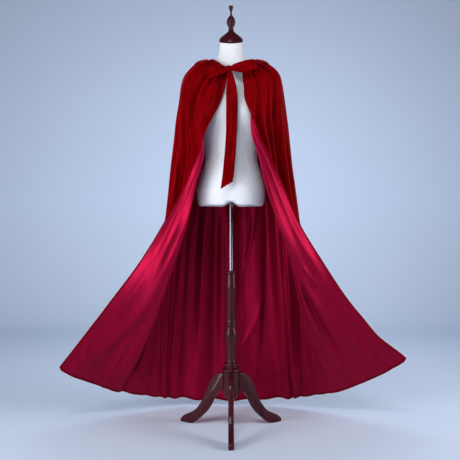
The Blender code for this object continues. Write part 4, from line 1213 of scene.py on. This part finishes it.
def makeLoops():
    turn = np.linspace(loopShape["mouth"], 2 * math.pi - loopShape["mouth"], loopShape["steps"] + 1)
    out = (1 - np.cos(turn)) / 2
    spread = np.sqrt(out)
    shares = np.linspace(0.5, -0.5, loopShape["rows"])[:, None]
    nearKnot = np.exp(-(out / loopShape["knotReach"]) ** 2)[None, :]
    high, count, shift = loopShape["knotCreases"]
    crease = high * np.cos(shares * count + shift) * nearKnot
    high, count, twist = loopShape["loopCreases"]
    crease = crease + high * np.sin(shares * count + out[None, :] * twist)
    half = loopShape["wall"] / 2
    for size in loops:
        start = np.array(knot["at"])
        tip = np.array([size["tip"][0], start[1], size["tip"][1]])
        start = start + (tip - start) / np.linalg.norm(tip - start) * size["root"]
        along = tip - start
        across = np.array([-along[2], 0.0, along[0]]) / np.linalg.norm(along)
        across = across * np.sign(across[2])
        width = size["knotWidth"] + (size["tipWidth"] - size["knotWidth"]) * spread
        width = width * (1 - size["pinch"] * out ** 5)
        centre = start[None, :] + along[None, :] * out[:, None]
        thick = loopShape["rootDepth"] + (1 - loopShape["rootDepth"]) * spread
        centre[:, 1] = size["backY"] - size["depth"] / 2 * (thick - np.sin(turn) * spread)
        centre[:, 2] -= loopShape["droop"] * np.sin(turn / 2) ** 2 + size["sag"] * out ** 3
        rows = []
        for k in range(loopShape["rows"]):
            share = 0.5 - k / (loopShape["rows"] - 1)
            rows.append(centre + across * (width * share)[:, None] + axisPoint)
        points = np.stack(rows)
        points = points + gridNormals(points) * crease[:, :, None]
        piece = clothWall(size["name"], points, -half, half, ribbonVelvet)
        fit(piece, "form", "ribbon", size["node"])
        print(size["name"], "area", round(sheetArea(points), 4))


def makeKnot():
    work = bmesh.new()
    sides, rings = knot["sides"]
    bmesh.ops.create_uvsphere(work, u_segments=sides, v_segments=rings, radius=1.0)
    wide, deep, high = knot["size"]
    turns, lean = knot["wrapTurns"]
    for vertex in work.verts:
        x, y, z = (math.copysign(abs(value) ** knot["blunt"], value) for value in vertex.co)
        wrap = 1.0 - knot["wrap"] * (1 - math.cos(x * turns + z * lean)) * (1 - abs(x) ** 3)
        vertex.co = (x * wide / 2, y * deep / 2 * wrap, z * high / 2 * wrap)
    piece = meshFromWork("bowKnot", work, ribbonVelvet)
    for vertex in piece.data.vertices:
        vertex.co = vertex.co + Vector(np.array(knot["at"]) + axisPoint)
    fit(piece, "form", "ribbon", "bow_knot")


tail = {
    # height, middle, half width, depth
    "rows": [
        (1.5782, -0.0075, 0.0080, -0.1305), (1.5450, -0.0020, 0.0140, -0.1405),
        (1.4900, 0.0005, 0.0215, -0.1450), (1.4000, 0.0010, 0.0222, -0.1455),
        (1.3200, 0.0000, 0.0215, -0.1440), (1.2300, -0.0050, 0.0228, -0.1430),
        (1.1500, -0.0120, 0.0240, -0.1430), (1.0910, -0.0185, 0.0262, -0.1430),
    ],
    "slant": 0.032,         # of the cut end
    "slantShare": 0.23,
    "wall": 0.0015,
    "steps": 140,
    "columns": 24,
    "behind": (0.0035, 0.0050, 0.016, 1.9),     # second tail: aside, back, shorter, its own waves
    "curl": (0.0026, 11),
    "ripple": (0.0012, 2.2, 7),
    # from the knot down: height, place across, slant, width, length
    "creases": [(-0.0030, 0.25, -0.5, 0.20, 0.55), (0.0028, -0.35, 0.2, 0.15, 0.45)],
    "flat": (0.050, 0.53),
}


def makeTails():
    table = np.array(tail["rows"])
    knots = (table[:, 0] - table[0, 0]) / (table[-1, 0] - table[0, 0])
    along = np.linspace(0.0, 1.0, tail["steps"])
    z, x, half, y = smoothThrough(knots, table, along).T
    length = z[0] - z[-1]
    slant = tail["slant"] / 2 * np.clip((along - 1 + tail["slantShare"]) / tail["slantShare"], 0, 1)
    t, c = along[:, None], np.linspace(-1.0, 1.0, tail["columns"] + 1)[None, :]
    crease = 0.0
    for high, middle, lean, wide, reach in tail["creases"]:
        crease = crease + high * np.exp(-((c - middle - lean * t) / wide) ** 2) * np.exp(-(t / reach) ** 2)
    curlHigh, curlCount = tail["curl"]
    rippleHigh, rippleAcross, rippleAlong = tail["ripple"]
    wall = tail["wall"] / 2
    for name, node, shift, back, shorter, phase in (("tailFront", "bow_tail_front", 0.0, 0.0, 0.0, 0.0),
                                                    ("tailBehind", "bow_tail_behind", *tail["behind"])):
        height = z[0] + (z - z[0]) * (1 - shorter / length)
        curl = curlHigh * np.cos(math.pi * c) * np.sin(curlCount * t + phase)
        curl = curl + rippleHigh * np.sin(rippleAcross * math.pi * c + rippleAlong * t + phase)
        points = np.stack([x[:, None] + shift + half[:, None] * c,
                           y[:, None] + back + curl + crease,
                           height[:, None] + slant[:, None] * c], axis=2) + axisPoint
        piece = clothWall(name, points, -wall, wall, ribbonVelvet)
        fit(piece, "form", "ribbon", node)
        area = round(sheetArea(points), 4)
        print(name, "area", area)


makeBand()
makeLoops()
makeKnot()
makeTails()
print("neck band, bow and tails tied")

# dress form
form = {
    "sections": [  # height, half width, front, back
        (1.7480, 0.0515, -0.056, 0.047), (1.7150, 0.0525, -0.056, 0.049), (1.6900, 0.0560, -0.059, 0.053),
        (1.6720, 0.0650, -0.062, 0.060), (1.6590, 0.0800, -0.064, 0.066), (1.6471, 0.1120, -0.066, 0.073),
        (1.6312, 0.1500, -0.071, 0.081), (1.6050, 0.1780, -0.086, 0.091), (1.5700, 0.1900, -0.101, 0.099),
        (1.5200, 0.1880, -0.112, 0.104), (1.4600, 0.1780, -0.120, 0.106), (1.4000, 0.1660, -0.124, 0.104),
        (1.3400, 0.1480, -0.118, 0.098), (1.2700, 0.1280, -0.103, 0.087), (1.2150, 0.1210, -0.096, 0.083),
        (1.1500, 0.1390, -0.103, 0.096), (1.0900, 0.1530, -0.108, 0.109), (1.0450, 0.1520, -0.104, 0.112),
        (1.0170, 0.1470, -0.098, 0.106), (1.0080, 0.1380, -0.090, 0.097),
    ],
    "segments": 112,
    "rows": 120,
    "round": 2.25,          # how square the sections are
    "tilt": 0.45,           # slope of the neck's top
    "tiltFrom": (1.700, 0.015),
    "notchRise": 0.017,     # in the middle of the lower edge
    "notchHalf": 0.026,
    "notchFrom": (1.0300, 0.013),
    "seatRadius": 0.018,
    "sharp": 50,
    "seam": [
        (1.600, 0.105), (1.500, 0.074), (1.400, 0.052), (1.300, 0.055), (1.200, 0.072), (1.100, 0.088),
        (1.020, 0.090),
    ],
    "seamSteps": 90,
    "seamHigh": 0.0008,
    "seamWide": 0.0016,
    "bust": 0.012,
    "bustAside": 0.072,
    "bustHeight": 1.415,
    "bustWide": 0.050,
    "bustTall": 0.058,
}


def tubeAlong(name, line, high, wide, material, sides=8):
    # a low welt along a line on the front of the form
    run = unitRows(np.gradient(line, axis=0))
    side = unitRows(np.cross(run, np.array([0.0, 1.0, 0.0])))
    up = np.cross(side, run)
    corners, faces = [], []
    for k in range(len(line)):
        for j in range(sides):
            angle = 2 * math.pi * j / sides
            corners.append(line[k] + side[k] * math.cos(angle) * wide + up[k] * math.sin(angle) * high)
    for k in range(len(line) - 1):
        for j in range(sides):
            n = (j + 1) % sides
            faces.append([k * sides + j, k * sides + n, (k + 1) * sides + n, (k + 1) * sides + j])
    faces.append(list(range(sides - 1, -1, -1)))
    faces.append([(len(line) - 1) * sides + j for j in range(sides)])
    return meshFrom(name, corners, faces, material)


def bustRise(x, height):
    aside = (np.abs(x) - form["bustAside"]) / form["bustWide"]
    above = (height - form["bustHeight"]) / form["bustTall"]
    return form["bust"] * np.exp(-aside ** 2 - above ** 2)


def makeForm():
    table = np.array(form["sections"])
    rows = smoothThrough(np.linspace(0, 1, len(table)), table, np.linspace(0, 1, form["rows"]))
    count = form["segments"]
    turn = 2 * math.pi * np.arange(count) / count
    cosine, sine = np.cos(turn), np.sin(turn)
    power = 2 / form["round"]
    neckFrom, neckOver = form["tiltFrom"]
    lowFrom, lowOver = form["notchFrom"]
    rings = []
    for z, halfX, front, back in rows:
        x = halfX * np.sign(cosine) * np.abs(cosine) ** power
        y = np.where(sine > 0, back, -front) * np.sign(sine) * np.abs(sine) ** power
        height = np.full_like(x, z) + form["tilt"] * y * ease((z - neckFrom) / neckOver)
        notch = np.exp(-(x / form["notchHalf"]) ** 4)
        height = height + form["notchRise"] * notch * ease((lowFrom - z) / lowOver)
        y = y - bustRise(x, z) * np.clip(-sine, 0, 1) ** 0.5
        rings.append(np.stack([x, y, height], axis=1))
    seat = np.full_like(cosine, table[-1, 0] + form["notchRise"])
    rings.append(np.stack([form["seatRadius"] * cosine, form["seatRadius"] * sine, seat], axis=1))
    rings = np.stack(rings)
    corners = rings.reshape(-1, 3)
    r, c = np.meshgrid(np.arange(len(rings) - 1), np.arange(count), indexing="ij")
    a = (r * count + c).ravel()
    b = (r * count + (c + 1) % count).ravel()
    faces = [list(face) for face in np.stack([a, a + count, b + count, b], axis=1)]
    top, bottom = len(corners), len(corners) + 1
    corners = np.concatenate([corners, rings[0].mean(axis=0)[None], rings[-1].mean(axis=0)[None]]) + axisPoint
    last = (len(rings) - 1) * count
    for k in range(count):
        faces.append([top, k, (k + 1) % count])
        faces.append([bottom, last + (k + 1) % count, last + k])
    piece = meshFrom("formTorso", corners, faces, jersey)
    piece.data.set_sharp_from_angle(angle=math.radians(form["sharp"]))
    fit(piece, "form", "jersey", "form_torso")


def makeFormSeams():
    table = np.array(form["sections"])
    order = np.argsort(table[:, 0])
    path = np.array(form["seam"])
    top, bottom = path[0, 0], path[-1, 0]
    height = np.linspace(top, bottom, form["seamSteps"])
    halfX, front = (np.interp(height, table[order, 0], table[order, k]) for k in (1, 2))
    down = np.linspace(0, 1, form["seamSteps"])
    aside = smoothThrough((top - path[:, 0]) / (top - bottom), path[:, 1:], down)[:, 0]
    cosine = np.abs(aside / halfX) ** (form["round"] / 2)
    sine = np.sqrt(np.clip(1 - cosine ** 2, 0, 1))
    y = front * sine ** (2 / form["round"]) - bustRise(aside, height) * np.sqrt(sine)
    for name, side in (("formSeamLeft", -1), ("formSeamRight", 1)):
        line = np.stack([side * aside, y, height], axis=1) + axisPoint
        fit(tubeAlong(name, line, form["seamHigh"], form["seamWide"], jersey), "form", "jersey")


# turned wood: radius and height, from the top down; leg: reach and height, round its outline
wood = {
    "cap": [
        (0.0095, 1.9060), (0.0100, 1.8985), (0.0080, 1.8900), (0.0042, 1.8850), (0.0040, 1.8640),
        (0.0085, 1.8600), (0.0150, 1.8520), (0.0195, 1.8380), (0.0190, 1.8260), (0.0140, 1.8160),
        (0.0105, 1.8090), (0.0110, 1.7960), (0.0170, 1.7880), (0.0300, 1.7790), (0.0440, 1.7690),
        (0.0520, 1.7600), (0.0535, 1.7535), (0.0530, 1.7484),
    ],
    "capY": -0.0045,
    "leanTop": 1.80,
    "post": [
        (0.0250, 0.7160), (0.0275, 0.7130), (0.0270, 0.7080), (0.0215, 0.7040), (0.0225, 0.6900),
        (0.0225, 0.6480), (0.0245, 0.6440), (0.0245, 0.6370), (0.0215, 0.6330), (0.0212, 0.4880),
        (0.0225, 0.4830), (0.0272, 0.4790), (0.0272, 0.4700), (0.0225, 0.4660), (0.0240, 0.4580),
        (0.0298, 0.4400), (0.0300, 0.4280), (0.0270, 0.4050), (0.0235, 0.3700), (0.0225, 0.3300),
        (0.0230, 0.3080), (0.0310, 0.3020), (0.0315, 0.2960), (0.0300, 0.2900), (0.0290, 0.2840),
        (0.0400, 0.2790), (0.0430, 0.2735), (0.0420, 0.2685), (0.0360, 0.2650), (0.0345, 0.2500),
        (0.0345, 0.1700), (0.0300, 0.1500), (0.0180, 0.1400),
    ],
    "boreRadius": 0.0095,
    "boreBottom": 0.36,
    "segments": 72,
    "sharp": 48,
    "leg": [
        (0.0349, 0.2520), (0.0560, 0.2545), (0.0820, 0.2400), (0.1060, 0.2120), (0.1230, 0.1720),
        (0.1380, 0.1350), (0.1560, 0.1040), (0.1820, 0.0690), (0.2160, 0.0490), (0.2460, 0.0360),
        (0.2640, 0.0210), (0.2700, 0.0080), (0.2640, 0.0000), (0.2060, 0.0000), (0.1900, 0.0100),
        (0.1560, 0.0380), (0.1260, 0.0680), (0.1040, 0.1000), (0.0880, 0.1350), (0.0680, 0.1620),
        (0.0349, 0.1780),
    ],
    "legs": 3,
    "legHalf": 0.0120,
    "legRound": 0.0030,
    "legSharp": 40,
}


def roundProfile(points, passes=2, closed=False, keep=()):
    # cuts each corner, and leaves the ones in keep
    points = [tuple(p) for p in points]
    for _ in range(passes):
        made = [] if closed else [points[0]]
        count = len(points)
        for k in range(count if closed else count - 1):
            p, q = points[k], points[(k + 1) % count]
            near = tuple(0.75 * a + 0.25 * b for a, b in zip(p, q))
            far = tuple(0.25 * a + 0.75 * b for a, b in zip(p, q))
            made += [p] if p in keep and (closed or k) else []
            made += [near, far]
        made += [] if closed else [points[-1]]
        points = made
    return points


def lathe(name, profile, material, lean=None):
    count = wood["segments"]
    turn = 2 * math.pi * np.arange(count) / count
    corners, faces = [], []
    for radius, z in profile:
        ring = np.stack([radius * np.cos(turn), radius * np.sin(turn), np.full_like(turn, z)], axis=1)
        corners.append(lean(ring, z) if lean else ring)
    for r in range(len(profile) - 1):
        for k in range(count):
            n = (k + 1) % count
            faces.append([r * count + k, (r + 1) * count + k, (r + 1) * count + n, r * count + n])
    last = (len(profile) - 1) * count
    faces.append(list(range(count)))
    faces.append([last + k for k in range(count - 1, -1, -1)])
    piece = meshFrom(name, np.concatenate(corners) + axisPoint, faces, material)
    piece.data.set_sharp_from_angle(angle=math.radians(wood["sharp"]))
    return piece


def makeCap():
    rim = wood["cap"][-2][1]

    def lean(ring, z):
        slope = form["tilt"] * min(1.0, max(0.0, (wood["leanTop"] - z) / (wood["leanTop"] - rim)))
        ring[:, 1] += wood["capY"]
        ring[:, 2] += slope * ring[:, 1]
        return ring

    fit(lathe("neckCap", roundProfile(wood["cap"]), mahogany, lean), "form", "mahogany", "neck_cap")


def makePost():
    top = wood["post"][0][1]
    outer = roundProfile(wood["post"])
    outer[0] = (outer[0][0], top)
    bore = [(wood["boreRadius"], wood["boreBottom"]), (wood["boreRadius"], top)]
    fit(lathe("standPost", bore + outer, mahogany), "stand", "mahogany", "stand_post")


def makeLegs():
    outline = roundProfile(wood["leg"], 2, True, keep=(wood["leg"][0], wood["leg"][-1]))
    for index in range(wood["legs"]):
        work = bmesh.new()
        loop = [work.verts.new((reach, 0.0, z)) for reach, z in outline]
        face = work.faces.new(loop)
        made = bmesh.ops.extrude_face_region(work, geom=[face])["geom"]
        for item in made:
            if isinstance(item, bmesh.types.BMVert):
                item.co.y += wood["legHalf"]
        for vertex in loop:
            vertex.co.y -= wood["legHalf"]
        bmesh.ops.recalc_face_normals(work, faces=work.faces)
        long = [e for e in work.edges if abs(e.verts[0].co.y - e.verts[1].co.y) < 1e-6]
        bmesh.ops.bevel(work, geom=long, offset=wood["legRound"], segments=3, affect="EDGES", profile=0.5)
        turn = -math.pi / 2 + index * 2 * math.pi / wood["legs"]
        for vertex in work.verts:
            x, y = vertex.co.x, vertex.co.y
            vertex.co.x = x * math.cos(turn) - y * math.sin(turn) + place["postX"]
            vertex.co.y = x * math.sin(turn) + y * math.cos(turn) + place["postY"]
        leg = meshFromWork("standLeg" + "ABC"[index], work, mahogany)
        leg.data.set_sharp_from_angle(angle=math.radians(wood["legSharp"]))
        fit(leg, "stand", "mahogany", "stand_leg_" + str(index + 1))


pole = {
    "radius": 0.0090,
    "bottom": 0.52,
    "top": 1.0247,
    "socket": 0.0125,
    "socketHeight": 0.0120,
    "bevel": 0.001,
}


def makePole():
    top, wide, bevel = pole["top"], pole["socket"], pole["bevel"]
    low = top - pole["socketHeight"]
    profile = [(wide - bevel, top), (wide, top - bevel), (wide, low + bevel), (wide - bevel, low),
               (pole["radius"], low), (pole["radius"], pole["bottom"])]
    fit(lathe("formPole", profile, chrome), "tube", "chrome", "form_pole")


makeForm()
makeFormSeams()
makeCap()
makePost()
makeLegs()
makePole()
print("form and stand turned")
